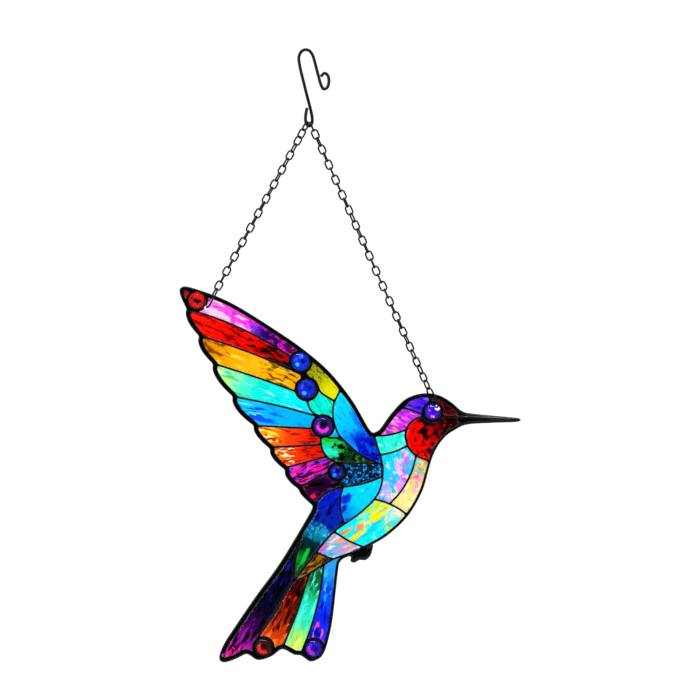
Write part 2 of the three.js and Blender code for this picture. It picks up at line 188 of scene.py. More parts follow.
def smoothed(loop, step, ease):
    """The loop as curves between its corners, and the corners eased so many times."""
    loop = without_crumbs(loop)
    into = loop - np.roll(loop, 1, axis=0)
    outof = np.roll(loop, -1, axis=0) - loop
    turn = np.degrees(np.arctan2(into[:, 0] * outof[:, 1] - into[:, 1] * outof[:, 0],
                                 (into * outof).sum(axis=1)))
    corners = [i for i, angle in enumerate(turn) if abs(angle) > CORNER_DEGREES] or [0]
    points = []
    for i, j in zip(corners, corners[1:] + [corners[0] + len(loop)]):
        stretch = np.array([loop[k % len(loop)] for k in range(i, j + 1)])
        points += curve_through(stretch, step)
    points = np.array(points)
    for _ in range(ease):
        points = 0.5 * points + 0.25 * (np.roll(points, 1, axis=0) + np.roll(points, -1, axis=0))
    return points


def offset(loop, distance, reach=1.8):
    """The loop moved to its left by the distance, its corners carried out to a point.

    A sharp corner moves no further than the distance times reach.
    """
    after = np.roll(loop, -1, axis=0) - loop
    after /= np.maximum(np.linalg.norm(after, axis=1, keepdims=True), 1e-9)
    left = np.column_stack([-after[:, 1], after[:, 0]])
    before = np.roll(left, 1, axis=0)
    meet = 1 + (left * before).sum(axis=1, keepdims=True)
    shift = (left + before) / np.maximum(meet, 1e-6)
    length = np.linalg.norm(shift, axis=1, keepdims=True)
    return loop + distance * shift * np.minimum(1, reach / np.maximum(length, 1e-9))


# %% [markdown]
# ## Leading
# The black lines are lead strip and solder with rounded shoulders. A bevel modifier
# would leave facets at the many junctions, so the rounding is worked out instead. Rows of
# points are laid at growing distances from the edge, the flat region is filled with triangles
# through them (a constrained Delaunay fill keeps its outline), and each point is lifted by how
# far it is from the nearest edge. Junctions then flow together by themselves, as solder does.

# %% Sizes of the leading, in millimetres
LEAD_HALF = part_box("lead_frame")[1].y / MM
LAP = 0.05                 # how far the leading grows into the clearance round the panes
SEAT_LAP = 0.5             # and into a gem's seat, to grip the gem
INNER_SHOULDER = 0.45      # radius of its rounded edge against the glass
OUTER_SHOULDER = 0.9       # and round the outside of the bird
INNER_CUT = 0.84           # share of a quarter round that shows beside the glass
CHANNEL = 0.3              # depth of the groove that holds the glass
HOLE_ROUND = 14            # outlines shorter than this are the hanging holes
PINHOLE = 1.2              # solder fills an opening with less area than this
EDGE_STEP = 0.62           # spacing of the points on an edge
EDGE_EASE = 3              # how many times its corners are eased
print("leading:", round(2 * LEAD_HALF, 2), "mm thick")

# %% Edges of the leading
gem_names = [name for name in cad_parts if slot_of(name).startswith("gem_")]
gem_middles = [sum(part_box(name), Vector()) / 2 / MM for name in gem_names]
lead_loops = [loop for loop in lead_loops if abs(area_of(loop)) > PINHOLE]
outer = max(lead_loops, key=lambda loop: abs(area_of(loop)))
edges = []
seats = 0
for loop in lead_loops:
    edge = smoothed(loop, EDGE_STEP, EDGE_EASE)
    if loop is outer:
        outer_edge = edge
    elif length_of(loop) > HOLE_ROUND:
        middle = (loop.min(axis=0) + loop.max(axis=0)) / 2
        seat = any(math.dist(middle, (m.x, m.z)) < 0.5 for m in gem_middles)
        seats += seat
        side = 1 if area_of(edge) > 0 else -1
        edge = offset(edge, side * (SEAT_LAP if seat else LAP))
    edges.append(edge)
print("points on the edges:", sum(len(loop) for loop in edges), "gem seats:", seats)

# %% Distance to the nearest edge


def along_line(corner_points, step):
    """Points closely spaced along the straight stretches between these."""
    out = []
    for a, b in zip(corner_points, corner_points[1:]):
        count = max(1, round(np.linalg.norm(b - a) / step))
        out += [a + (b - a) * i / count for i in range(count)]
    return out + [corner_points[-1]]


def dense(loop, step=0.12):
    """Points closely spaced along a closed loop."""
    return along_line([*loop, loop[0]], step)[:-1]


def tree_of(points):
    """A search tree that finds the nearest of these points quickly."""
    tree = kdtree.KDTree(len(points))
    for i, (x, z) in enumerate(points):
        tree.insert((x, z, 0), i)
    tree.balance()
    return tree


def distance_to(tree, points):
    return np.array([tree.find((x, z, 0))[2] for x, z in points])


edge_tree = tree_of([point for loop in edges for point in dense(loop)])

# %% Rows of points beside the edges
ROWS = [0.075, 0.23, 0.46, 0.8, 1.35, 2.0, 2.8, 3.7]     # distances from the edge
OWN_SHARE = 0.93           # a point nearer than this share of its row belongs to another edge


def winding_side(loop):
    """+1 if the lead lies to the left of the way the loop runs."""
    return 1 if (area_of(loop) > 0) == (loop is outer_edge) else -1


rows = []
for loop in edges:
    for distance in ROWS:
        spread = loop[::2] if distance > 1 else loop
        row = offset(spread, winding_side(loop) * distance)
        rows.append(row[distance_to(edge_tree, row) > OWN_SHARE * distance])
rows = np.vstack(rows)
print("points laid inside the leading:", len(rows))

# %% [markdown]
# The beak and the feet are fuller than the strips: there the shoulder grows into one round
# back. The beak also has a fine raised seam between its upper and lower half. Distances are
# measured from the beak's tip, the right end of the leading, so they follow the CAD.

# %% Beak seam
TIP_HEIGHT = -245.4        # z of the beak's tip
BEAK_TIP = np.array([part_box("lead_frame")[1].x / MM, TIP_HEIGHT])
BEAK_SEAM = BEAK_TIP + np.array([[-43.5, 2.4], [-32, 1.7], [-20, 1.0], [-6.5, 0.1]])
GAPE = BEAK_TIP + np.array([[-47.5, 0.1], [-40.8, -2.4]])     # the corner of the mouth
SEAM_SHIFTS = (-0.5, -0.25, 0, 0.25, 0.5)     # rows of points across the seam
SEAM_CLEAR = 0.7           # the other rows keep this far away from it
SEAM_INSET = 0.25          # and its own points this far from the edges

seam_tree = tree_of(along_line(BEAK_SEAM, 0.1) + along_line(GAPE, 0.1))
seam_rows = np.vstack([np.array(along_line(line, 0.5)) + [0, shift]
                       for line in (BEAK_SEAM, GAPE) for shift in SEAM_SHIFTS])
seam_rows = seam_rows[distance_to(edge_tree, seam_rows) > SEAM_INSET]
clear_rows = rows[distance_to(seam_tree, rows) > SEAM_CLEAR]
print("points on the beak's seam:", len(seam_rows))

# %% Fuller beak and feet
BEAK_ROOT = 100            # the beak starts this far to the right of the hook
BEAK_BLEND = 10            # and is at its fullest this much further
BEAK_FULLER = 2.6          # how much more radius its shoulder has
FEET_LEFT, FEET_RIGHT = 28, 48           # the part of the leading that is feet, in x
FEET_TOP, FEET_BOTTOM = -329, -345       # and in z
FEET_BLENDS = (3, 4)       # they get fuller over this much from the left and from the top
FEET_FULLER = 1.6
NEAR_ENOUGH = 0.02


def at_rim(edge, rim):
    """True where the nearest edge, at one distance, is the outer one, at the other."""
    return rim < edge + NEAR_ENOUGH


def grown(distance, over):
    """0 before a distance starts, 1 once it has gone over this much."""
    return min(max(distance / over, 0), 1)


def shoulder(point, edge, rim):
    """Radius of the rounded edge here, given how near any edge and the outer edge are."""
    x, z = point
    base = OUTER_SHOULDER if at_rim(edge, rim) else INNER_SHOULDER
    feet = 0
    if x < FEET_RIGHT and z > FEET_BOTTOM:
        feet = grown(x - FEET_LEFT, FEET_BLENDS[0]) * grown(FEET_TOP - z, FEET_BLENDS[1])
    return base + BEAK_FULLER * grown(x - BEAK_ROOT, BEAK_BLEND) + FEET_FULLER * feet


print("shoulder at the beak's root and tip:",
      [round(shoulder((x, 0), 0, 0), 2) for x in (BEAK_ROOT, BEAK_TIP[0])])

# %% Fill the flat region


def filled(loops, inner):
    """Triangles over the region that the loops bound, through the inner points."""
    corners = [Vector(point) for loop in loops for point in loop]
    links = []
    first = 0
    for loop in loops:
        count = len(loop)
        links += [(first + i, first + (i + 1) % count) for i in range(count)]
        first += count
    corners += [Vector(point) for point in inner]
    flat, _, triangles, *_ = delaunay_2d_cdt(corners, links, [], 0, 1e-5)
    return np.array([tuple(point) for point in flat]), [list(t) for t in triangles]


def inside(loops, points):
    """True for each point with an odd number of loops round it."""
    odd = np.zeros(len(points), bool)
    x, z = points.T
    for loop in loops:
        for (x0, z0), (x1, z1) in zip(loop, np.roll(loop, -1, axis=0)):
            if z0 != z1:
                crosses = (z0 > z) != (z1 > z)
                at = x0 + (z - z0) / (z1 - z0) * (x1 - x0)
                odd ^= crosses & (x < at)
    return odd


def region(loops, inner):
    """The filled triangles that lie inside the loops, each with its front towards -y."""
    flat, triangles = filled(loops, inner)
    middles = np.array([flat[t].mean(axis=0) for t in triangles])
    kept = [t for t, keep in zip(triangles, inside(loops, middles)) if keep]
    turned = []
    for a, b, c in kept:
        ab, ac = flat[b] - flat[a], flat[c] - flat[a]
        turned.append([a, b, c] if ab[0] * ac[1] - ab[1] * ac[0] > 0 else [a, c, b])
    return flat, turned


lead_flat, lead_faces = region(edges, np.vstack([clear_rows, seam_rows]))
print("front of the leading:", len(lead_flat), "points,", len(lead_faces), "triangles")

# %% [markdown]
# ## From flat fill to solid
# The same fill serves the front and the back. A band of wall faces joins the two along every
# edge: an edge used by a single front triangle is on the rim. The helper is used for the
# leading and for the panes, so both come out as closed solids with no stray faces.

# %% Make a solid from a fill


def in_scene(name, data):
    """A new object in the scene for this mesh, light or camera."""
    thing = bpy.data.objects.new(name, data)
    bpy.context.scene.collection.objects.link(thing)
    return thing


def mesh_in_mm(name, corners, faces):
    """A mesh from points in millimetres."""
    mesh = bpy.data.meshes.new(name)
    mesh.from_pydata([tuple(c * MM for c in corner) for corner in corners], [], faces)
    return mesh


def new_piece(name, corners, faces, node):
    """A piece from points in millimetres. It stands for a CAD node, which it hides."""
    mesh = mesh_in_mm(name, corners, faces)
    mesh.validate()
    mesh.update()
    mesh.shade_smooth()
    piece = in_scene(name, mesh)
    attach(piece, "root")
    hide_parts(node)
    return piece


def solid(flat, faces, front, back, inward=None):
    """Corners and faces of a plate with the given front and back heights at each point.

    With inward, a function from a point to a shift, its walls fold in to a groove.
    """
    count = len(flat)
    corners = [(x, y, z) for (x, z), y in zip(flat, front)]
    corners += [(x, y, z) for (x, z), y in zip(flat, back)]
    used = {pair for a, b, c in faces for pair in ((a, b), (b, c), (c, a))}
    rim = [(a, b) for a, b in used if (b, a) not in used]
    backs = [[c + count, b + count, a + count] for a, b, c in faces]
    if inward is None:
        walls = [[b, a, a + count, b + count] for a, b in rim]
        return corners, list(faces) + backs + walls
    middle = {}
    for a, _ in rim:
        middle[a] = len(corners)
        x, z = flat[a] + inward(flat[a])
        corners.append((x, (front[a] + back[a]) / 2, z))
    walls = [[b, a, middle[a], middle[b]] for a, b in rim]
    walls += [[middle[b], middle[a], a + count, b + count] for a, b in rim]
    return corners, list(faces) + backs + walls


# %% Unevenness of the solder
WAVES = 9
WAVE_SIZE = 3.5            # the sum of the waves rarely goes past this
random.seed(4)
waves = [(random.uniform(0.25, 0.9), random.uniform(0, math.tau), random.uniform(0, math.tau))
         for _ in range(WAVES)]


def unevenness(point):
    """Slow rise and fall of hand-run solder, about -1 to 1."""
    x, z = point
    total = sum(math.sin(rate * (x * math.cos(way) + z * math.sin(way)) + shift)
                for rate, way, shift in waves)
    return total / WAVE_SIZE


# %% Height of the leading
THIN_HALF = 0.15           # the least half thickness, where a shoulder is wider than the lead
SEAM_LIFT = 0.3            # height of the beak's seam, and half its width
SOLDER_LIFT = 0.05         # height of the solder's unevenness
SOLDER_BLEND = 0.8         # which starts at nothing on the edge and is full this far in


def lead_height(point, edge, rim, seam):
    """Half the thickness here, given the distances to any edge, the outer edge and the seam."""
    radius = shoulder(point, edge, rim)
    sunk = max(radius - edge, 0) / radius * (1 if at_rim(edge, rim) else INNER_CUT)
    depth = min(radius, LEAD_HALF - THIN_HALF)
    height = LEAD_HALF - depth * (1 - math.sqrt(max(1 - sunk * sunk, 0)))
    height += SEAM_LIFT * math.exp(-(seam / SEAM_LIFT) ** 2) * min(edge, 1)
    return height + SOLDER_LIFT * unevenness(point) * min(edge / SOLDER_BLEND, 1)


near_edge = distance_to(edge_tree, lead_flat)
near_rim = distance_to(tree_of(dense(outer_edge)), lead_flat)
near_seam = distance_to(seam_tree, lead_flat)
heights = np.array([lead_height(*place) for place in zip(lead_flat, near_edge, near_rim, near_seam)])
print("half thickness from", heights.min().round(2), "to", heights.max().round(2), "mm")

# %% Build the leading
groove_depths = [0 if loop is outer_edge else CHANNEL for loop in edges]
edge_shifts = np.vstack([offset(loop, winding_side(loop) * depth) - loop
                         for loop, depth in zip(edges, groove_depths)])
edge_point_tree = tree_of(np.vstack(edges))


def into_lead(point):
    """The shift from a point on an edge to the bottom of the groove there."""
    return edge_shifts[edge_point_tree.find((point[0], point[1], 0))[1]]


corners, faces = solid(lead_flat, lead_faces, -heights, heights, into_lead)
leading = new_piece("leading", corners, faces, "lead_frame")
leading.data.set_sharp_from_angle(angle=math.radians(CORNER_DEGREES))
print("leading:", len(leading.data.polygons), "faces")

# %% [markdown]
# ## Panes
# Each pane is rolled glass, so its faces are not quite flat: slow ripples bend what is seen
# through it and break up the reflections. A fine grid of points inside the outline carries the
# ripples. The edge runs a little way under the leading, as the real glass sits in its channel.

# %% Outline and inner points of a pane
GLASS_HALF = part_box("pink_feather")[1].y / MM
TUCK = 0.65                # how far a pane grows, to end inside its channel
TIP_REACH = 3.2            # and how many times that at a sharp tip
PANE_STEP = 1.0            # spacing of the points on its outline
GRID = 1.5                 # spacing of the points that carry the ripples
GRID_SHAKE = 0.2
ROW_SHARE = 0.87           # the grid's rows are this share of its spacing apart
KEEP_OFF = 0.6             # and it keeps this share away from the outline


def pane_loops(node):
    """The smooth outlines of a pane, grown into its channel."""
    loops = []
    for loop in front_loops(node):
        fine = smoothed(loop, PANE_STEP, 0)
        side = -1 if area_of(fine) > 0 else 1
        loops.append(offset(fine, side * TUCK, TIP_REACH))
    return loops


def grid_inside(loops, seed):
    """A slightly shaken grid of points well inside the loops."""
    shaken = random.Random(seed)
    every = np.vstack(loops)
    low, high = every.min(axis=0), every.max(axis=0)
    grid = []
    z = low[1] + GRID / 2
    while z < high[1]:
        x = low[0] + GRID / 2
        while x < high[0]:
            grid.append((x + shaken.uniform(-GRID_SHAKE, GRID_SHAKE),
                         z + shaken.uniform(-GRID_SHAKE, GRID_SHAKE)))
            x += GRID
        z += GRID * ROW_SHARE
    grid = np.array(grid).reshape(-1, 2)
    grid = grid[inside(loops, grid)]
    return grid[distance_to(tree_of(every), grid) > KEEP_OFF * GRID]


# %% Build the panes
# Height of each wave, its turning in x and in z as radians a millimetre, and its own shift.
RIPPLES = [(0.05, 0.55, 0.33, 1), (0.035, -0.5, 0.9, 2.1), (0.02, 1.7, 1.1, 3.7)]
BACK_SHARE = 0.7           # the back is rolled flatter than the front


def ripple(point, seed):
    """Height of the rolled surface in millimetres, a sum of three waves."""
    x, z = point
    return sum(height * math.sin(across * x + up * z + shift * seed)
               for height, across, up, shift in RIPPLES)


pane_names = [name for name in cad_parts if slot_of(name).startswith("glass_")]
panes = {}
for seed, name in enumerate(pane_names):
    loops = pane_loops(name)
    flat, faces = region(loops, grid_inside(loops, seed))
    front = [-GLASS_HALF + ripple(point, seed) for point in flat]
    back = [GLASS_HALF + BACK_SHARE * ripple(point, seed + 5) for point in flat]
    corners, faces = solid(flat, faces, front, back)
    panes[name] = new_piece(name + "_glass", corners, faces, name)
print("panes:", len(panes), "faces:", sum(len(p.data.polygons) for p in panes.values()))

# %% [markdown]
# ## Gems
# The gems are cast glass domes with a polished round front and a low back. A dome is spun from
# a half profile: rings of points whose height falls away towards the edge. A gem's middle and
# radius are those of its CAD node. The hanging hole by the eye passes through the eye gem, so
# that one is drilled with a boolean cut, which also gives the hole its wall.

# %% Spin a dome
GEM_SPOKES = 72
GEM_RINGS = 17
DOME_BENDS = (2.4, 0.8)    # how square the dome's section is, at the top and at the edge


def gem_profile(radius, front, back, girdle):
    """Radius and y of each ring, from the middle of the front to the middle of the back."""
    top, edge = DOME_BENDS
    shares = np.sin(np.radians(np.linspace(0, 90, GEM_RINGS)))
    dome = [(radius * s, -girdle - (front - girdle) * (1 - s ** top) ** edge) for s in shares]
    under = [(radius * s, girdle + (back - girdle) * (1 - s * s)) for s in shares[::-2]]
    return dome + under


def spun(rings, x, z):
    """Corners and faces of a solid of revolution about a line along y."""
    corners = [(x, rings[0][1], z)]
    for r, y in rings[1:-1]:
        for spoke in range(GEM_SPOKES):
            angle = math.tau * spoke / GEM_SPOKES
            corners.append((x + r * math.cos(angle), y, z + r * math.sin(angle)))
    corners.append((x, rings[-1][1], z))
    last = len(corners) - 1
    end = last - GEM_SPOKES
    faces = []
    for spoke in range(GEM_SPOKES):
        following = (spoke + 1) % GEM_SPOKES
        faces.append([0, 1 + spoke, 1 + following])
        for ring in range(len(rings) - 3):
            a = 1 + ring * GEM_SPOKES
            b = a + GEM_SPOKES
            faces.append([a + spoke, b + spoke, b + following, a + following])
        faces.append([last, end + following, end + spoke])
    return corners, faces


# %% Find and drill the hole in a gem
RING_SHARES = 7            # more corners than this at one distance make a ring of the gem
DRILL_REACH = 9
HOLE_CORNER_DEGREES = 50


def hole_in(points, x, z):
    """Middle and radius of the hole through a gem, or nothing.

    Its corners lie on none of the gem's rings, and a circle is fitted to them.
    """
    plan = points[:, [0, 2]]
    away = np.linalg.norm(plan - [x, z], axis=1).round(1)
    distances, counts = np.unique(away, return_counts=True)
    cut = plan[~np.isin(away, distances[counts > RING_SHARES]) & (away > 0.5)]
    if len(cut) <= RING_SHARES:
        return None
    sides = np.column_stack([2 * cut, np.ones(len(cut))])
    a, b, c = np.linalg.lstsq(sides, (cut ** 2).sum(axis=1), rcond=None)[0]
    return (a, b), math.sqrt(c + a * a + b * b)


def drill(piece, middle, radius):
    """Cuts a round hole along y through a piece."""
    profile = [(0, -DRILL_REACH), (radius, -DRILL_REACH), (radius, DRILL_REACH), (0, DRILL_REACH)]
    cutter = in_scene("drill", mesh_in_mm("drill", *spun(profile, *middle)))
    cut = piece.modifiers.new("hole", "BOOLEAN")
    cut.operation = "DIFFERENCE"
    cut.object = cutter
    shape = piece.evaluated_get(bpy.context.evaluated_depsgraph_get())
    drilled = bpy.data.meshes.new_from_object(shape)
    piece.modifiers.clear()
    piece.data = drilled
    piece.data.set_sharp_from_angle(angle=math.radians(HOLE_CORNER_DEGREES))
    bpy.data.objects.remove(cutter)


# %% Build the gems


def gem_piece(name):
    """One gem, with the middle, radius and heights of its CAD node."""
    points, _ = welded(name)
    x, y, z = points[points[:, 1].argmin()]
    plan = np.linalg.norm(points[:, [0, 2]] - [x, z], axis=1)
    radius = float(plan.max())
    girdle = float(np.abs(points[plan > radius - 0.05][:, 1]).min())
    corners, faces = spun(gem_profile(radius, -y, points[:, 1].max(), girdle), x, z)
    piece = new_piece(name + "_dome", corners, faces, name)
    hole = hole_in(points, x, z)
    if hole:
        drill(piece, *hole)
        print(name, "has a hole, radius", round(hole[1], 2), "mm")
    return piece


gems = {name: gem_piece(name) for name in gem_names}
print("gems:", len(gems))

# %% [markdown]
# ## Round wire
# Hook and links are bent wire. A curve object with a bevel would do, but its ends stay flat and
# its section turns as it likes. Sweeping a ring of points along a smooth line in code keeps the
# section round and lets the ends be rounded. For the hook the line comes from the CAD solid:
# starting at its end cap, each next ring of corners lies one step further along the wire.

# %% Sweep a wire along a line
END_SHARES = (0.35, 0.7, 0.92, 0.999)     # rings of a rounded end, as shares of its reach
END_FLATTEN = 0.8          # a rounded end is a little flatter than a ball
SLANT = (0.3, 0.9, 0.1)    # a direction that no wire here starts along


def sweep(line, radius, sides, closed):
    """Corners and faces of a round wire along a line. An open wire gets rounded ends."""
    line = np.array(line, float)
    if closed:
        ways = np.roll(line, -1, axis=0) - np.roll(line, 1, axis=0)
    else:
        ways = np.gradient(line, axis=0)
    ways /= np.linalg.norm(ways, axis=1, keepdims=True)
    start = np.cross(ways[0], SLANT)
    across = [start / np.linalg.norm(start)]
    for way in ways[1:]:
        carried = across[-1] - np.dot(across[-1], way) * way
        across.append(carried / np.linalg.norm(carried))
    rings = [(p, w, a, 1.0) for p, w, a in zip(line, ways, across)]
    if not closed:
        for share in END_SHARES:
            thin = math.sqrt(1 - share * share)
            reach = share * radius * END_FLATTEN
            rings.insert(0, (line[0] - ways[0] * reach, ways[0], across[0], thin))
            rings.append((line[-1] + ways[-1] * reach, ways[-1], across[-1], thin))
    corners = []
    for point, way, side, scale in rings:
        up = np.cross(way, side)
        for i in range(sides):
            angle = math.tau * i / sides
            spoke = math.cos(angle) * side + math.sin(angle) * up
            corners.append(tuple(point + radius * scale * spoke))
    faces = []
    count = len(rings)
    for ring in range(count if closed else count - 1):
        a, b = ring * sides, (ring + 1) % count * sides
        for i in range(sides):
            j = (i + 1) % sides
            faces.append([a + i, a + j, b + j, b + i])
    if not closed:
        faces.append(list(range(sides))[::-1])
        faces.append(list(range((count - 1) * sides, count * sides)))
    return corners, faces


# %% Read the hook's line from its solid


def wire_line(name):
    """Middle of each ring of corners along a swept solid, from one end cap to the other."""
    points, triangles = welded(name)
    touching = {}
    groups = {}
    for triangle in triangles:
        a, b, c = (points[v] for v in triangle)
        normal = np.cross(b - a, c - a)
        normal /= np.linalg.norm(normal)
        key = (*normal.round(2), round(float(np.dot(normal, a)), 1))
        groups.setdefault(key, set()).update(triangle)
        for v in triangle:
            touching.setdefault(v, set()).update(triangle)
    # A cap is flat, has more corners than a side, and they are all as far from its middle.
    caps = []
    for group in groups.values():
        flat_face = points[list(group)]
        reach = np.linalg.norm(flat_face - flat_face.mean(axis=0), axis=1)
        if len(group) > 4 and np.ptp(reach) < 0.05:
            caps.append(group)
    ring = caps[0]
    middles = []
    used = set()
    while ring:
        middles.append(points[list(ring)].mean(axis=0))
        used |= ring
        ring = set().union(*(touching[v] for v in ring)) - used
    return np.array(middles)


hook_middles = wire_line("hook")
print("hook rings:", len(hook_middles), "from", hook_middles[0], "to", hook_middles[-1])

# %% Build the hook
HOOK_RADIUS = 1.06
HOOK_SIDES = 18
hook_line = curve_through(hook_middles, 0.5) + [hook_middles[-1]]
corners, faces = sweep(hook_line, HOOK_RADIUS, HOOK_SIDES, False)
hook = new_piece("wire_hook", corners, faces, "hook")
print("hook faces:", len(hook.data.polygons))

# %% [markdown]
# ## Chain links
# Every link is an oval of round wire. The CAD chain is one solid of simple links, so it tells
# where each link sits and how it is turned: a plane through a link's middle, square to the
# chain, cuts only that link, in two places. The middle between them is the link's middle and
# the line through them is its width.

# %% Measure the links of a chain
WIRE = 0.61                # radius, a little more than the CAD's three-sided wire
LINK_WIDE = 5.2
LINK_LAP = 2.08            # how far the ends of neighbours reach past each other
LINK_COUNTS = {"chain_left": 23, "chain_right": 35}


def main_ways(points):
    """Directions in which points are spread, the longest first."""
    return np.linalg.svd(points - points.mean(axis=0), full_matrices=False)[2]


def measured_links(name, count):
    """Middle, length direction and width direction of each link, and the pitch."""
    points, triangles = welded(name)
    centre = points.mean(axis=0)
    way = main_ways(points)[0]
    way *= -1 if way[2] > 0 else 1
    along = (points - centre) @ way
    low, high = along.min(), along.max()
    pitch = (high - low - LINK_LAP) / count
    edge_list = {tuple(sorted(pair)) for t in triangles
                 for pair in ((t[0], t[1]), (t[1], t[2]), (t[2], t[0]))}
    a, b = (points[[pair[k] for pair in edge_list]] for k in (0, 1))
    found = []
    for i in range(count):
        level = low + (LINK_LAP + pitch) / 2 + i * pitch
        ta, tb = (a - centre) @ way - level, (b - centre) @ way - level
        cut = ta * tb < 0
        share = (ta[cut] / (ta[cut] - tb[cut]))[:, None]
        hits = a[cut] + share * (b[cut] - a[cut])
        wide = main_ways(hits)[0]
        sides = (hits - hits.mean(axis=0)) @ wide
        middle = (hits[sides > 0].mean(axis=0) + hits[sides < 0].mean(axis=0)) / 2
        found.append((middle, way, wide))
    return found, pitch


# %% Build the chains
LINK_STEPS = 36            # points round a link
LINK_SIDES = 10            # points round its wire
LINK_BULGE = 0.05          # the long sides of a link bow out by this share


def oval(middle, way, wide, length, width, steps):
    """A closed line down the middle of a link's wire: two straight sides, two round ends."""
    half_wide = width / 2 - WIRE
    straight = length / 2 - WIRE - half_wide
    line = []
    for i in range(steps):
        angle = math.tau * (i + 0.5) / steps
        bend = math.copysign(1, math.sin(angle)) * straight
        bulge = 1 + LINK_BULGE * math.cos(2 * angle)
        line.append(middle + wide * half_wide * bulge * math.cos(angle)
                    + way * (bend + half_wide * math.sin(angle)))
    return line


def chain_piece(name, count):
    """All the links of one chain, joined in one mesh."""
    found, pitch = measured_links(name, count)
    corners, faces = [], []
    for middle, way, wide in found:
        line = oval(middle, way, wide, pitch + LINK_LAP, LINK_WIDE, LINK_STEPS)
        more, more_faces = sweep(line, WIRE, LINK_SIDES, True)
        first = len(corners)
        corners += more
        faces += [[v + first for v in face] for face in more_faces]
    print(name, "pitch", round(pitch, 2), "mm")
    return new_piece(name + "_links", corners, faces, name)


chains = [chain_piece(name, count) for name, count in LINK_COUNTS.items()]

# %% Build the end links
END_LINK_STEPS = 44
END_LINK_SIDES = 12


def end_link_piece(name):
    """The long link at a chain's foot, as long and as wide as its CAD node."""
    points, _ = welded(name)
    centre = (points.max(axis=0) + points.min(axis=0)) / 2
    way, wide, _ = main_ways(points)
    length, width = (float(np.ptp(points @ axis)) for axis in (way, wide))
    line = oval(centre, way, wide, length, width, END_LINK_STEPS)
    corners, faces = sweep(line, WIRE, END_LINK_SIDES, True)
    print(name, round(length, 1), "by", round(width, 1), "mm")
    return new_piece(name + "_wire", corners, faces, name)


end_links = [end_link_piece(name) for name in ("end_link_left", "end_link_right")]

# %% [markdown]
# ## Node helpers
# A procedural material is a small graph of nodes, and building it call by call is long. A class
# keeps the graphs readable: its methods add a node and set its inputs, do arithmetic, mix two
# colours, make noise or a ramp, and hand the results to the shader.

# %% Node helpers


class Graph:
    """The node graph of one new material."""

    def __init__(self, name):
        self.material = bpy.data.materials.new(name)
        self.material.use_nodes = True
        self.nodes = self.material.node_tree.nodes
        self.links = self.material.node_tree.links
        self.shader = next(n for n in self.nodes if n.type == "BSDF_PRINCIPLED")
        place = self.nodes.new("ShaderNodeTexCoord")
        self.place = place.outputs["Object"]

    def set(self, socket, value):
        if isinstance(value, bpy.types.NodeSocket):
            self.links.new(value, socket)
        else:
            socket.default_value = value

    def add(self, kind, values, **settings):
        node = self.nodes.new(kind)
        for key, value in settings.items():
            setattr(node, key, value)
        for key, value in values.items():
            self.set(node.inputs[key], value)
        return node

    def math(self, operation, *values):
        return self.add("ShaderNodeMath", dict(enumerate(values)), operation=operation).outputs[0]

    def vector(self, operation, *values):
        node = self.add("ShaderNodeVectorMath", dict(enumerate(values)), operation=operation)
        return node.outputs["Value" if operation in ("DOT_PRODUCT", "LENGTH") else "Vector"]

    def scaled(self, vector, factor):
        return self.add("ShaderNodeVectorMath", {0: vector, "Scale": factor},
                        operation="SCALE").outputs["Vector"]

    def joined(self, x, y, z):
        return self.add("ShaderNodeCombineXYZ", {0: x, 1: y, 2: z}).outputs[0]

    def mix(self, share, a, b, blend="MIX"):
        return self.add("ShaderNodeMix", {0: share, 6: a, 7: b},
                        data_type="RGBA", blend_type=blend).outputs[2]

    def noise(self, vector, scale, detail=3.0, rough=0.55):
        return self.add("ShaderNodeTexNoise", {
            "Vector": vector, "Scale": scale, "Detail": detail, "Roughness": rough,
        }).outputs[0]

    def drift(self, *recipe):
        """Noise that goes as far below nothing as above it."""
        return self.math("SUBTRACT", self.noise(*recipe), 0.5)

    def spread(self, value, low, high):
        """A value from 0 to 1, spread between low and high."""
        return self.add("ShaderNodeMapRange", {
            "Value": value, "To Min": low, "To Max": high}).outputs[0]

    def band(self, value, low, high):
        """0 on low's side, 1 on high's side, smooth between the two."""
        return self.add("ShaderNodeMapRange", {
            "Value": value, "From Min": low, "From Max": high,
        }, interpolation_type="SMOOTHSTEP").outputs[0]

    def ramp(self, value, stops):
        node = self.add("ShaderNodeValToRGB", {"Fac": value})
        elements = node.color_ramp.elements
        while len(elements) > 1:
            elements.remove(elements[-1])
        elements[0].position, elements[0].color = stops[0]
        for position, colour in stops[1:]:
            elements.new(position).color = colour
        return node.outputs[0]

    def bump(self, height, strength, distance):
        node = self.add("ShaderNodeBump", {
            "Height": height, "Strength": strength, "Distance": distance})
        self.set(self.shader.inputs["Normal"], node.outputs[0])

    def finish(self, **values):
        for key, value in values.items():
            self.set(self.shader.inputs[key.replace("_", " ")], value)
        return self.material


def rgb(code):
    """A colour as the shader wants it, from its usual six-figure code."""
    parts = [int(code[i:i + 2], 16) / 255 for i in (0, 2, 4)]
    return (*[p / 12.92 if p <= 0.04045 else ((p + 0.055) / 1.055) ** 2.4 for p in parts], 1)


# %% [markdown]
# ## Black leading and wire
# The leading is solder with a gloss black patina. It is never quite even: the black thins to a
# bluish grey here and there, and the gloss comes and goes. Slow noise drives the colour, a
# finer one the gloss, and a slight bump breaks up long reflections.

# %% Leading material
graph = Graph("leading_patina")
slow = graph.noise(graph.place, 90.0, 4.0)
fine = graph.noise(graph.place, 900.0, 3.0)
tone = graph.ramp(slow, [(0.3, rgb("010102")), (0.62, rgb("030406")), (0.8, rgb("0c0e14"))])
gloss = graph.spread(fine, 0.06, 0.18)
graph.bump(graph.math("ADD", fine, slow), 0.1, 0.0003)
leading_finish = graph.finish(Base_Color=tone, Roughness=gloss, IOR=1.22)
leading.data.materials.append(leading_finish)
print("leading finish:", leading_finish.name)

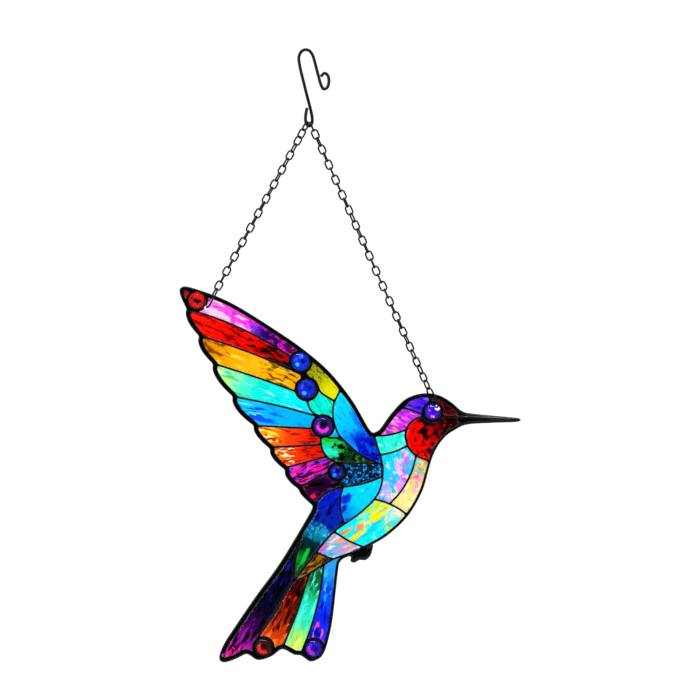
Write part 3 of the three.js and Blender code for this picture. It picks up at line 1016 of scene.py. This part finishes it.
# %% Wire material
graph = Graph("black_wire")
fine = graph.noise(graph.place, 1400.0, 4.0)
patch = graph.noise(graph.place, 260.0, 2.0)
tone = graph.ramp(patch, [(0.35, rgb("020203")), (0.7, rgb("0a0b10"))])
gloss = graph.spread(fine, 0.15, 0.35)
graph.bump(fine, 0.08, 0.0002)
wire_finish = graph.finish(Base_Color=tone, Roughness=gloss, IOR=1.24)
for piece in [hook, *chains, *end_links]:
    piece.data.materials.append(wire_finish)
print("wire finish on", 1 + len(chains) + len(end_links), "pieces")

# %% [markdown]
# ## Coloured glass
# Real art glass is poured from several colours, so each pane has broad areas that run into each
# other, streaks along the feather, and small flecks. One recipe makes them all: a ramp of
# colours along the pane, a few soft blots at named places, then layers of streaks and flecks
# cut out of stretched noise. A pane's own long direction steers it, found from its outline.
# The shader passes light like glass; its numbers are plain values, so they survive export.

# %% A pane's own directions


def pane_frame(node, heading):
    """Start point, length direction, side direction, length and width of a pane, in mm.

    Without a heading the pane's longest direction is used, from left to right.
    """
    loop = max(front_loops(node), key=lambda one: abs(area_of(one)))
    points = np.array(dense(loop, 0.5))
    centre = points.mean(axis=0)
    if heading is None:
        way = main_ways(points)[0]
        way *= np.sign(way[0])
    else:
        way = np.array([math.cos(math.radians(heading)), math.sin(math.radians(heading))])
    side = np.array([-way[1], way[0]])
    along, across = (points - centre) @ way, (points - centre) @ side
    start = centre + way * along.min() + side * across.min()
    return start, way, side, float(np.ptp(along)), float(np.ptp(across))


# %% One layer of streaks or flecks
LAYER_GRAIN = 0.62         # scale of the noise for marks about a millimetre across
LAYER_EDGE = 0.64          # noise is hardly ever above this, so nothing shows
LAYER_GAIN = 0.3           # the full amount lowers that edge by this
LAYER_SOFT = 0.07          # how softly a mark ends
LAYER_SOFTER = 0.02        # and how much more softly for each millimetre of its size


def layer(graph, colour, place, vector, code, amount, size, *where):
    """Lays one colour over another where noise is high.

    Each pair in where is two shares of the length: the layer grows from nothing at the first
    to its full amount at the second.
    """
    cut = graph.noise(vector, LAYER_GRAIN / size, 2.6, 0.5)
    for start, full in zip(where[::2], where[1::2]):
        lack = graph.math("SUBTRACT", graph.band(place, start, full), 1.0)
        cut = graph.math("ADD", cut, graph.math("MULTIPLY", lack, LAYER_GAIN))
    edge = LAYER_EDGE - LAYER_GAIN * amount
    softness = LAYER_SOFT + LAYER_SOFTER * size
    return graph.mix(graph.band(cut, edge, edge + softness), colour, rgb(code))


def wandered(graph, value, *pairs):
    """A value with noise added, each noise times its factor."""
    for noise, factor in pairs:
        value = graph.math("ADD", value, graph.math("MULTIPLY", noise, factor))
    return value


# %% The glass recipe
STREAK_STRETCH = 0.24      # the width of a streak as a share of its length
# Each layer reads its own part of the noise: the step from one to the next, and the first.
MARK_STEPS = {"streaks": ((11.0, 7.0, 1.0), (2.0, 0.0, 0.0)),
              "flecks": ((17.0, 9.0, 1.0), (4.0, 3.0, 0.0))}
BLOT_EDGE = (1.15, 0.7)    # where a blot ends and where it is full, as shares of its size
BLOT_DRIFT, BLOT_SHRED = 2.0, 1.8        # how much the noises pull its outline about
# Denser glass is darker: values of noise, and what each multiplies the colour by.
DEPTHS = [(0.3, (0.7, 0.7, 0.7, 1)), (0.44, (0.94, 0.94, 0.94, 1)), (0.52, (1, 1, 1, 1))]


def art_glass(node, stops, blots=(), streaks=(), flecks=(), heading=None, wander=0.2, seed=0):
    """Glass for one pane.

    stops: (share along the pane, colour).
    blots: (along, across as shares, length and width in mm, colour).
    streaks and flecks: (colour, amount from 0 to 1, size in mm, and where they start and are
    full as shares of the length, if not everywhere).
    """
    start, way, side, length, width = pane_frame(node, heading)
    graph = Graph(node + "_colour")
    local = graph.vector("SUBTRACT", graph.scaled(graph.place, 1 / MM), (start[0], 0, start[1]))
    along = graph.vector("DOT_PRODUCT", local, (way[0], 0, way[1]))
    across = graph.vector("DOT_PRODUCT", local, (side[0], 0, side[1]))
    level = 5.3 * seed + 1
    plain = graph.joined(along, across, level)
    drift = graph.drift(plain, 0.16, 3.0)
    bent = graph.math("MULTIPLY_ADD", drift, 3.0, across)
    stretched = graph.joined(graph.math("MULTIPLY", along, STREAK_STRETCH), bent, 3.7 * seed)
    shred = graph.drift(stretched, 0.6, 5.0, 0.65)

    share = graph.math("DIVIDE", along, length)
    place = wandered(graph, share, (drift, wander), (shred, wander))
    colour = graph.ramp(place, [(at, rgb(code)) for at, code in stops])
    for here, over, long, wide, code in blots:
        away = graph.vector("SUBTRACT", plain, (here * length, over * width, level))
        away = graph.vector("LENGTH", graph.vector("DIVIDE", away, (long, wide, 1)))
        away = wandered(graph, away, (drift, BLOT_DRIFT), (shred, BLOT_SHRED))
        colour = graph.mix(graph.band(away, *BLOT_EDGE), colour, rgb(code))
    for kind, marks, base in (("streaks", streaks, stretched), ("flecks", flecks, plain)):
        step, first = MARK_STEPS[kind]
        for number, (code, amount, size, *where) in enumerate(marks):
            shift = tuple(number * s + f for s, f in zip(step, first))
            shifted = graph.vector("ADD", base, shift)
            colour = layer(graph, colour, share, shifted, code, amount, size, *where)
    depth = graph.ramp(graph.noise(stretched, 0.5, 4.0, 0.6), DEPTHS)
    graph.bump(graph.noise(stretched, 0.5, 2.0), 0.06, 0.0005)
    return graph.finish(Base_Color=graph.mix(1.0, colour, depth, "MULTIPLY"),
                        Roughness=0.05, IOR=1.25, Transmission_Weight=0.86)


# %% [markdown]
# ## The colours of each pane
# The wing's feathers run from pink and red through gold and green to blue, then back through
# orange to magenta. The body is blue and turquoise with pale opal glass on the breast. Each
# recipe lists its broad areas first, then the streaks and flecks that lie over them.

# %% Upper wing feathers
recipes = {
    "wing_tip_pane": dict(
        stops=[(0, "a00c08"), (1, "c81810")], heading=0, flecks=[("240404", 0.46, 1.4)]),
    "pink_feather": dict(
        stops=[(0, "ff9cf0"), (0.12, "ff6ce8"), (0.3, "fa3ce0"), (0.45, "ff5ce8"),
               (0.5, "ee48e8"), (0.57, "6a1cc0"), (0.63, "2c0870"), (1, "20043c")],
        blots=[(0.2, 0.3, 13, 2.8, "ffcdf6"), (0.42, 0.25, 8, 2.4, "ffb4f2"),
               (0.52, 0.7, 3.5, 1.8, "4c40f4"), (1.0, 0.5, 6, 8, "500838")],
        streaks=[("e018d4", 0.34, 1.5), ("ffd8f8", 0.34, 1.5, 0.58, 0.4)],
        flecks=[("c81898", 0.34, 1.6, 0.56, 0.72)], wander=0.1),
    "red_feather": dict(
        stops=[(0, "ff1c06"), (0.4, "ff0c04"), (0.7, "f20806"), (1, "a80408")],
        streaks=[("8c0400", 0.44, 1.6), ("100004", 0.74, 1.4, 0.25, 0.8)],
        flecks=[("280202", 0.34, 1.5, 0.3, 0)]),
    "amber_feather": dict(
        stops=[(0, "e89008"), (0.25, "f8a408"), (0.5, "ffbc10"), (0.75, "fcb008"),
               (1, "ffa800")],
        streaks=[("984400", 0.66, 1.5, 0.55, 0), ("ffdc30", 0.28, 1.8),
                 ("6c4800", 0.5, 1.3, 0.4, 0.75)],
        flecks=[("7a3c00", 0.3, 1.2, 0.5, 0)]),
    "green_feather": dict(
        stops=[(0, "dcf000"), (0.05, "ccf83c"), (0.16, "b4ffb0"), (0.28, "5cf8c8"),
               (0.42, "14f0e0"), (1, "00ecfc")],
        streaks=[("f8fff0", 0.42, 1.8, 0.45, 0.1), ("e8f010", 0.46, 1.6, 0.32, 0),
                 ("2ce090", 0.34, 1.7, 0.8, 0.2), ("90fff4", 0.24, 1.8)]),
    "blue_feather": dict(
        stops=[(0, "18d8f8"), (0.2, "10c4fc"), (0.5, "08b4fc"), (0.8, "08b8fc"),
               (1, "04b4f4")],
        blots=[(0.34, 0.3, 9, 2.0, "1058ec"), (0.5, 0.62, 6, 1.4, "1070f4"),
               (0.24, 0.05, 3.5, 1.2, "dc90e8")],
        streaks=[("0450e8", 0.4, 1.5, 0.95, 0.3), ("58f0ff", 0.36, 1.5, 0.7, 0.1)]),
}
print("upper wing recipes:", len(recipes))

# %% Lower wing feathers
recipes.update({
    "upper_orange_feather": dict(
        stops=[(0, "ffb018"), (0.25, "ff8818"), (0.5, "ff4810"), (0.8, "f42008"),
               (1, "e01008")],
        streaks=[("c81000", 0.4, 1.3), ("ffe020", 0.46, 1.4, 0.8, 0.1),
                 ("ffffb0", 0.34, 1.1, 0.8, 0.1), ("700800", 0.4, 1.2, 0.3, 0.9)]),
    "lower_orange_feather": dict(
        stops=[(0, "ff8010"), (0.3, "fc4808"), (0.6, "f42808"), (1, "ec1004")],
        streaks=[("b41404", 0.42, 1.2), ("ffd850", 0.44, 1.3, 0.9, 0.1),
                 ("fff8d0", 0.32, 1.1, 0.9, 0.2), ("800800", 0.34, 1.1, 0.3, 0.8)]),
    "magenta_feather": dict(
        stops=[(0, "ff30b8"), (0.3, "ff20c8"), (0.6, "f018b8"), (1, "c810a0")],
        streaks=[("f81860", 0.36, 1.3), ("8030f4", 0.42, 1.3), ("ff98f4", 0.36, 1.2, 0.7, 0.1),
                 ("300024", 0.46, 1.1)]),
    "plum_feather": dict(
        stops=[(0, "380824"), (0.4, "24042c"), (1, "160430")],
        blots=[(0.2, 0.25, 2.4, 2.0, "ff1070"), (0.1, 0.7, 3, 1.5, "901060")],
        streaks=[("700c50", 0.42, 1.3), ("500c88", 0.34, 1.1, 0.2, 0.8),
                 ("060106", 0.42, 1.4)]),
})
print("recipes so far:", len(recipes))

# %% Small wing panes
recipes.update({
    "shoulder_pane": dict(
        stops=[(0, "8c9000"), (0.4, "b0b408"), (0.75, "dcdc00"), (1, "f0e800")], heading=-50,
        streaks=[("707400", 0.42, 1.4, 1, 0.2), ("e8f038", 0.3, 1.4)],
        flecks=[("4c5400", 0.36, 1.1, 1, 0.1)]),
    "covert_pane": dict(
        stops=[(0, "04e8c0"), (0.5, "02f0e8"), (1, "04dcc0")], heading=-60,
        blots=[(0.38, 0.82, 6, 1.8, "08b408"), (0.85, 0.7, 2.4, 1.4, "04c060")],
        streaks=[("04d490", 0.36, 1.8), ("20fff0", 0.3, 1.8)]),
    "long_leaf_pane": dict(
        stops=[(0, "10dcf8"), (0.3, "06ccfc"), (0.46, "06b8fc"), (0.55, "0670f0"),
               (0.62, "0420d0"), (0.8, "0410b4"), (1, "04089c")],
        blots=[(0.42, 0.85, 9, 2.6, "1080ff"), (0.64, 0.15, 6, 2.4, "0c8cf4")],
        flecks=[("0850e8", 0.34, 2.4, 0.25, 0.5), ("020640", 0.34, 1.8, 0.58, 0.75)],
        wander=0.12),
    "triangle_pane": dict(stops=[(0, "08d0f4"), (1, "08a4e8")], heading=-90),
    "green_leaf_pane": dict(
        stops=[(0, "18e060"), (0.15, "20e0a0"), (0.34, "20c850"), (0.48, "0a5020"),
               (0.64, "04180c"), (0.8, "063018"), (1, "0c3c1c")], heading=-18,
        blots=[(0.22, 0.3, 8, 2.6, "28ecd4"), (0.14, 0.84, 7, 2.2, "10c818"),
               (0.4, 0.6, 4, 1.6, "18c428")],
        flecks=[("021008", 0.66, 2.2, 0.0, 0.4), ("28a838", 0.3, 1.3, 0.5, 0.7)]),
    "flank_pane": dict(
        stops=[(0, "02182c"), (0.5, "032040"), (1, "021828")], heading=0,
        flecks=[("01060c", 0.44, 2.2), ("0860b8", 0.36, 2.0), ("18a0f4", 0.24, 1.5),
                ("50d0ff", 0.12, 1.3)]),
})
print("recipes so far:", len(recipes))

# %% Head and neck panes
recipes.update({
    "nape_pane": dict(
        stops=[(0, "7c20b8"), (0.3, "6428d8"), (0.7, "4c18f4"), (1, "4010e0")], heading=-15,
        streaks=[("a820b4", 0.46, 1.3, 0.9, 0.1), ("2808a0", 0.38, 1.3),
                 ("8c58f8", 0.28, 1.3)]),
    "crown_pane": dict(
        stops=[(0, "440408"), (1, "6c0408")], heading=-40,
        flecks=[("a00808", 0.32, 1.4), ("0c0204", 0.5, 1.4)]),
    "neck_pane": dict(
        stops=[(0, "f850c8"), (0.5, "f42ce0"), (1, "e838f4")], heading=-25,
        blots=[(0.16, 0.2, 9, 3.2, "ff8c98")],
        streaks=[("ff90ec", 0.42, 1.3), ("b028ec", 0.42, 1.3), ("7830e4", 0.26, 1.2)]),
    "throat_pane": dict(
        stops=[(0, "ff0600"), (0.36, "f00400"), (0.52, "a00404"), (0.68, "300406"),
               (1, "200408")], heading=30,
        flecks=[("700204", 0.38, 1.8), ("080204", 0.82, 2.6, 0.05, 0.45),
                ("c80808", 0.26, 1.5, 0.5, 0.7)]),
})
print("recipes so far:", len(recipes))

# %% Breast and belly panes
recipes.update({
    "collar_pane": dict(
        stops=[(0, "10f8e0"), (0.5, "30fcd8"), (1, "10f4f0")], heading=10,
        flecks=[("88fff0", 0.36, 3.0), ("08e0dc", 0.34, 2.8), ("b0ffc0", 0.2, 2.6)]),
    "chest_pane": dict(
        stops=[(0, "04e4f4"), (0.35, "08d8fc"), (0.6, "38c8fc"), (0.76, "c4bcf4"),
               (1, "ccb8f0")], heading=-75,
        blots=[(0.24, 0.78, 7, 3, "b480f4"), (0.4, 0.62, 8, 2.2, "f4b4f4"),
               (0.54, 0.7, 5, 3, "bc60f0"), (0.74, 0.5, 6, 3.6, "f09cec"),
               (0.55, 0.1, 5, 2, "4880f8"), (0.88, 0.12, 4, 2.4, "1cb0fc"),
               (0.84, 0.4, 5, 2.4, "fff4c0")],
        flecks=[("ffd0f0", 0.3, 3.2), ("20c0ff", 0.34, 3.4)]),
    "breast_pane": dict(
        stops=[(0, "f4a848"), (0.2, "f8b848"), (0.4, "fcd088"), (0.6, "fcdc90"),
               (0.8, "fce890"), (1, "fce088")], heading=-105,
        blots=[(0.52, 0.3, 8, 2, "ffb4cc"), (0.48, 0.8, 8, 1.6, "ffa8d0")],
        flecks=[("fff8b8", 0.34, 2.4), ("ff8418", 0.54, 1.8, 0.7, 0.2),
                ("f868c8", 0.44, 1.8, 0.8, 0.2), ("ffe808", 0.46, 1.6, 0.7, 0.2),
                ("18e4f4", 0.46, 1.6, 0.62, 0.2)]),
    "belly_pane": dict(
        stops=[(0, "30e0e0"), (0.15, "18f0f0"), (0.5, "00ecfc"), (0.64, "30f0e8"),
               (0.74, "80f0d0"), (0.85, "f8ecb0"), (1, "fff0d0")], heading=35,
        blots=[(0.68, 0.6, 12, 4, "fcf008"), (0.62, 0.86, 8, 2, "c8ec10"),
               (0.9, 0.36, 8, 4, "fff0d4"), (0.12, 0.72, 5, 1.8, "ff9838"),
               (0.2, 0.42, 6, 1.7, "ffe030"), (0.32, 0.6, 3, 1.6, "ff9860"),
               (0.8, 0.12, 5, 2, "50e8e0")],
        flecks=[("f8f430", 0.34, 2.2, 0.3, 0.7), ("60fff8", 0.28, 2.6),
                ("f8c8c0", 0.3, 2.2, 0.65, 0.9), ("10e8f0", 0.2, 2.0, 0.5, 0.8)]),
})
print("recipes so far:", len(recipes))

# %% Rump, side and back panes
recipes.update({
    "vent_pane": dict(
        stops=[(0, "20a8ec"), (0.3, "60b8e8"), (0.6, "98b8dc"), (1, "a8b8cc")], heading=22,
        streaks=[("f880b0", 0.42, 2.0), ("ffb060", 0.36, 1.8), ("d850c8", 0.28, 1.6),
                 ("20a8f8", 0.5, 1.6, 0.8, 0.1), ("d8f4ff", 0.36, 1.8)]),
    "rump_pane": dict(
        stops=[(0, "ac7808"), (1, "986404")], heading=35,
        streaks=[("c89010", 0.3, 1.4), ("4c2c04", 0.56, 1.4), ("201202", 0.4, 1.2)]),
    "side_pane": dict(
        stops=[(0, "04dcfc"), (0.6, "04d4f8"), (0.8, "04b0f4"), (1, "0470e8")], heading=-135,
        blots=[(0.72, 0.3, 6, 3, "0830dc"), (0.85, 0.5, 4, 2, "0828c4")],
        flecks=[("0458e8", 0.38, 2.2, 0.5, 0.9), ("30f0ff", 0.32, 2.6, 0.9, 0.2)]),
    "back_pane": dict(
        stops=[(0, "0818c8"), (0.2, "0820c0"), (0.38, "082898"), (0.46, "0c60a8"),
               (0.54, "0c7890"), (0.6, "053040"), (0.7, "032818"), (0.82, "0c8830"),
               (0.9, "085020"), (1, "044018")], heading=-118,
        blots=[(0.47, 0.5, 3, 5, "18a0cc"), (0.79, 0.45, 8, 1.6, "10c444")],
        streaks=[("0430f0", 0.42, 1.6, 0.45, 0.1), ("020410", 0.32, 1.6)],
        flecks=[("0410a0", 0.4, 2.0, 0.5, 0.38), ("1c98e0", 0.42, 1.8, 0.3, 0.42, 0.66, 0.54),
                ("48c8f0", 0.22, 1.5, 0.32, 0.44, 0.66, 0.56)], wander=0.12),
})
print("recipes so far:", len(recipes))

# %% Tail feathers, from their free ends upwards
recipes.update({
    "navy_tail_feather": dict(
        stops=[(0, "f41890"), (0.06, "d81898"), (0.16, "a01498"), (0.3, "380850"),
               (0.45, "0c0824"), (0.7, "060818"), (1, "04060c")],
        blots=[(0.24, 0.62, 9, 2.2, "8c10a0")],
        streaks=[("b018b4", 0.46, 1.7, 0.5, 0.1), ("1818a8", 0.38, 1.3, 0.2, 0.7),
                 ("040206", 0.44, 1.5)],
        flecks=[("f440a0", 0.36, 1.5, 0.3, 0)], wander=0.12),
    "orange_tail_feather": dict(
        stops=[(0, "e04008"), (0.25, "c83808"), (0.42, "9c2408"), (0.6, "601008"),
               (1, "240406")],
        streaks=[("ff7c20", 0.36, 1.5, 0.6, 0.1), ("4c0c04", 0.6, 1.5, 0, 0.3),
                 ("e02808", 0.34, 1.4, 0.2, 0.6), ("180204", 0.56, 1.4, 0.1, 0.5)]),
    "green_tail_feather": dict(
        stops=[(0, "ecf040"), (0.12, "b0f050"), (0.3, "40f0b0"), (0.5, "20e8cc"),
               (0.68, "18c080"), (0.82, "0c6030"), (1, "085028")],
        streaks=[("f8ff80", 0.42, 1.4, 0.4, 0.05), ("60ffe8", 0.34, 1.4),
                 ("067030", 0.46, 1.2, 0.25, 0.8), ("021c10", 0.4, 1.1, 0.6, 0.95)]),
    "blue_tail_feather": dict(
        stops=[(0, "8030e8"), (0.08, "2030f4"), (0.3, "0c28f0"), (0.5, "0c50f8"),
               (0.62, "0848f0"), (0.75, "1890f8"), (1, "38a8f4")],
        blots=[(0.1, 0.3, 3, 1.4, "f450c8"), (0.16, 0.62, 4, 1.2, "ff50b8"),
               (0.05, 0.8, 3, 1.2, "ff70c8"), (0.5, 0.5, 5, 1.2, "10a8ff")],
        streaks=[("0410b8", 0.42, 1.4, 0.8, 0.3), ("30c0ff", 0.36, 1.4, 0.1, 0.7)]),
})
for seed, (name, recipe) in enumerate(recipes.items()):
    panes[name].data.materials.append(art_glass(name, seed=seed, **recipe))
print("panes coloured:", len(recipes), "of", len(panes))

# %% [markdown]
# ## Gem colours
# A gem's colour is painted darker towards its edge, as painted shade where the dome is steep and
# the leading shades it. Its bright patches and crescents are painted light, where light focused
# through the dome would fall, and its dark patches are mostly painted shade. Distance from its
# middle drives the painted shade at the edge, and soft blots at named places make the patches.

# %% Gem recipe
PATCH_EDGE = (1.1, 0.6)    # where a patch ends and where it is full, as shares of its size


def gem_glass(name, rim, body, glint_and_shade_patches, seed):
    """Glass for one gem: its body colour, its rim colour as painted shade, and patches.

    Each patch is (x, z as shares of the radius, size as a share of it, colour); the bright ones
    are painted glints of light focused through the dome, the dark ones mostly painted shade.
    """
    low, high = (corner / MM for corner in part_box(name))
    middle = (low + high) / 2
    radius = (high.z - low.z) / 2
    graph = Graph(name + "_colour")
    in_radii = graph.scaled(graph.place, 1 / MM / radius)
    local = graph.vector("SUBTRACT", in_radii, tuple(middle / radius))
    flat = graph.vector("MULTIPLY", local, (1, 0, 1))
    cloud = graph.vector("ADD", flat, (seed * 3.1, 0, seed * 1.7))
    drift = graph.drift(cloud, 1.6, 3.0)
    out = wandered(graph, graph.vector("LENGTH", flat), (drift, 0.35))
    # painted shade: the colour runs to the darker rim colour towards the gem's edge
    colour = graph.ramp(out, [(0.0, rgb(body)), (0.55, rgb(body)), (0.95, rgb(rim))])
    # patches of painted light and shade: bright glints where light through the dome focuses, dark
    # shaded areas
    for x, z, size, code in glint_and_shade_patches:
        away = graph.vector("LENGTH", graph.vector("SUBTRACT", flat, (x, 0, z)))
        away = wandered(graph, graph.math("DIVIDE", away, size), (drift, 1.0))
        colour = graph.mix(graph.band(away, *PATCH_EDGE), colour, rgb(code))
    graph.bump(graph.noise(cloud, 2.2, 2.0), 0.05, 0.0004)
    return graph.finish(Base_Color=colour, Roughness=0.04, IOR=1.2, Transmission_Weight=0.6)


# %% Colour the gems
ARC_PATCHES = 9


def glint_crescent(radius, begin, end, size, colour):
    """Patches strung along a part of a circle, which run together into a crescent: painted light, as
    if focused through the dome.
    """
    angles = np.radians(np.linspace(begin, end, ARC_PATCHES))
    return [(radius * math.cos(a), radius * math.sin(a), size, colour) for a in angles]


# Per gem: rim colour, painted shade; body colour; patches, the bright ones and the crescents painted
# glints of focused light, the dark ones mostly painted shade.
gem_recipes = {
    "wing_tip_gem": ("6c0404", "e80404", [(-0.42, 0.22, 0.26, "100204"),
                     (-0.22, -0.02, 0.28, "100204"), (0.08, -0.16, 0.27, "100204"),
                     (0.36, -0.1, 0.22, "100204"), (0.3, 0.6, 0.16, "3c0404")]),
    "upper_wing_gem": ("040c60", "0a2ce4", [(0.1, 0.55, 0.28, "2868ff"),
                       (0.3, 0.1, 0.3, "04106c"), (-0.3, -0.25, 0.24, "28ccff")]),
    "lower_wing_gem": ("040c5c", "0a24d8", [(0.35, 0.1, 0.26, "041068"),
                       (-0.1, 0.45, 0.26, "06188c"), (-0.25, -0.4, 0.24, "28b8ff")]),
    "covert_gem": ("1c0c78", "2c0880", [(0.05, 0.25, 0.5, "0c0218"),
                   *glint_crescent(0.52, 185, 330, 0.2, "f42cdc")]),
    "flank_gem": ("020430", "0618a4", [(-0.3, -0.35, 0.28, "1c88ff"),
                  (0.2, 0.35, 0.4, "020628"), (0.4, -0.3, 0.22, "1030b8")]),
    "eye_gem": ("18045c", "3c0ccc", [(-0.3, 0.12, 0.14, "f430d0"), (-0.1, -0.5, 0.2, "ff50e4"),
                (0.1, -0.55, 0.16, "ffa0f4"), (-0.5, -0.2, 0.12, "8428f4")]),
    "red_tail_gem": ("100204", "340204", [*glint_crescent(0.5, 165, 290, 0.2, "f41c10"),
                     (0.35, -0.6, 0.12, "c81008")]),
    "violet_tail_gem": ("100448", "2c08bc", [*glint_crescent(0.55, 170, 260, 0.22, "b420c8"),
                        (0.3, -0.15, 0.26, "14044c")]),
}
for seed, (name, (rim, body, glint_and_shade_patches)) in enumerate(gem_recipes.items()):
    gems[name].data.materials.append(gem_glass(name, rim, body, glint_and_shade_patches, seed))
print("gems coloured:", len(gem_recipes))

# %% [markdown]
# ## Room, light and camera
# A suncatcher lives on the light behind it, so the surroundings are white, and the glass shows
# its colours by what comes through. Seen from the front, flat glass would mirror that white and
# look washed out. In a studio a dark card stands behind the camera, and here the surroundings
# darken in a narrow cone straight in front in the same way. A strip light above draws thin
# bright lines on the shoulders of the leading, and a large panel fills the front softly.

# %% Surroundings
CONE_RIM, CONE_MIDDLE = 0.86, 0.97     # cosines of the angle from straight in front
BRIGHT, DARK = 1.08, 0.03              # strength outside the cone and in its middle
world = bpy.data.worlds.new("studio")
bpy.context.scene.world = world
world.use_nodes = True
tree = world.node_tree
background = tree.nodes["Background"]
direction = tree.nodes.new("ShaderNodeTexCoord")
facing = tree.nodes.new("ShaderNodeVectorMath")
facing.operation = "DOT_PRODUCT"
facing.inputs[1].default_value = (0, -1, 0)
tree.links.new(direction.outputs["Generated"], facing.inputs[0])
card = tree.nodes.new("ShaderNodeMapRange")
card.interpolation_type = "SMOOTHSTEP"
for socket, value in {"From Min": CONE_RIM, "From Max": CONE_MIDDLE,
                      "To Min": BRIGHT, "To Max": DARK}.items():
    card.inputs[socket].default_value = value
tree.links.new(facing.outputs["Value"], card.inputs["Value"])
tree.links.new(card.outputs[0], background.inputs["Strength"])
background.inputs["Color"].default_value = (1, 1, 1, 1)
print("dark cone:", round(math.degrees(math.acos(CONE_RIM))), "degrees from its middle")

# %% Floor
FLOOR_DROP = 0.24          # how far the floor is below the bird's tail, in metres
FLOOR_RADIUS = 1.1
FLOOR_SIDES = 96
floor_level = cad_box[0].z - FLOOR_DROP
turns = [math.tau * i / FLOOR_SIDES for i in range(FLOOR_SIDES)]
rim = [(FLOOR_RADIUS * math.cos(turn), FLOOR_RADIUS * math.sin(turn), floor_level)
       for turn in turns]
mesh = bpy.data.meshes.new("floor")
mesh.from_pydata(rim, [], [list(range(FLOOR_SIDES))])
floor = in_scene("floor", mesh)
graph = Graph("pale_floor")
grain = graph.noise(graph.place, 40.0, 3.0)
tone = graph.ramp(grain, [(0.3, rgb("e6e6e4")), (0.7, rgb("ececea"))])
floor.data.materials.append(graph.finish(Base_Color=tone, Roughness=0.6))
print("floor at", round(floor_level, 3))

# %% Soft lights
BIRD = Vector((0.03, 0, -0.28))        # where the lights point


def soft_panel(name, place, size, power):
    """A rectangular light at a place, turned to the bird."""
    light = bpy.data.lights.new(name, "AREA")
    light.shape = "RECTANGLE"
    light.size, light.size_y = size
    light.energy = power
    panel = in_scene(name, light)
    panel.location = place
    panel.rotation_euler = (BIRD - Vector(place)).to_track_quat("-Z", "Y").to_euler()


soft_panel("top_strip", (-0.1, -0.4, 0.75), (1.2, 0.06), 15)
soft_panel("front_panel", (-0.9, -1.2, 0.25), (0.7, 0.9), 12)
print("lights:", [light.name for light in bpy.data.lights])

# %% Camera
VIEW_WIDE = 0.46667        # metres across the view at the bird
VIEW_X, VIEW_Z = 0.03, -0.199
DISTANCE = 1.6
camera_data = bpy.data.cameras.new("camera")
camera = in_scene("camera", camera_data)
camera.location = (VIEW_X, -DISTANCE, VIEW_Z)
camera.rotation_euler = (math.pi / 2, 0, 0)
camera_data.lens = camera_data.sensor_width * DISTANCE / VIEW_WIDE
bpy.context.scene.camera = camera
bpy.context.scene.view_settings.view_transform = "Standard"
print("lens", round(camera_data.lens, 1))
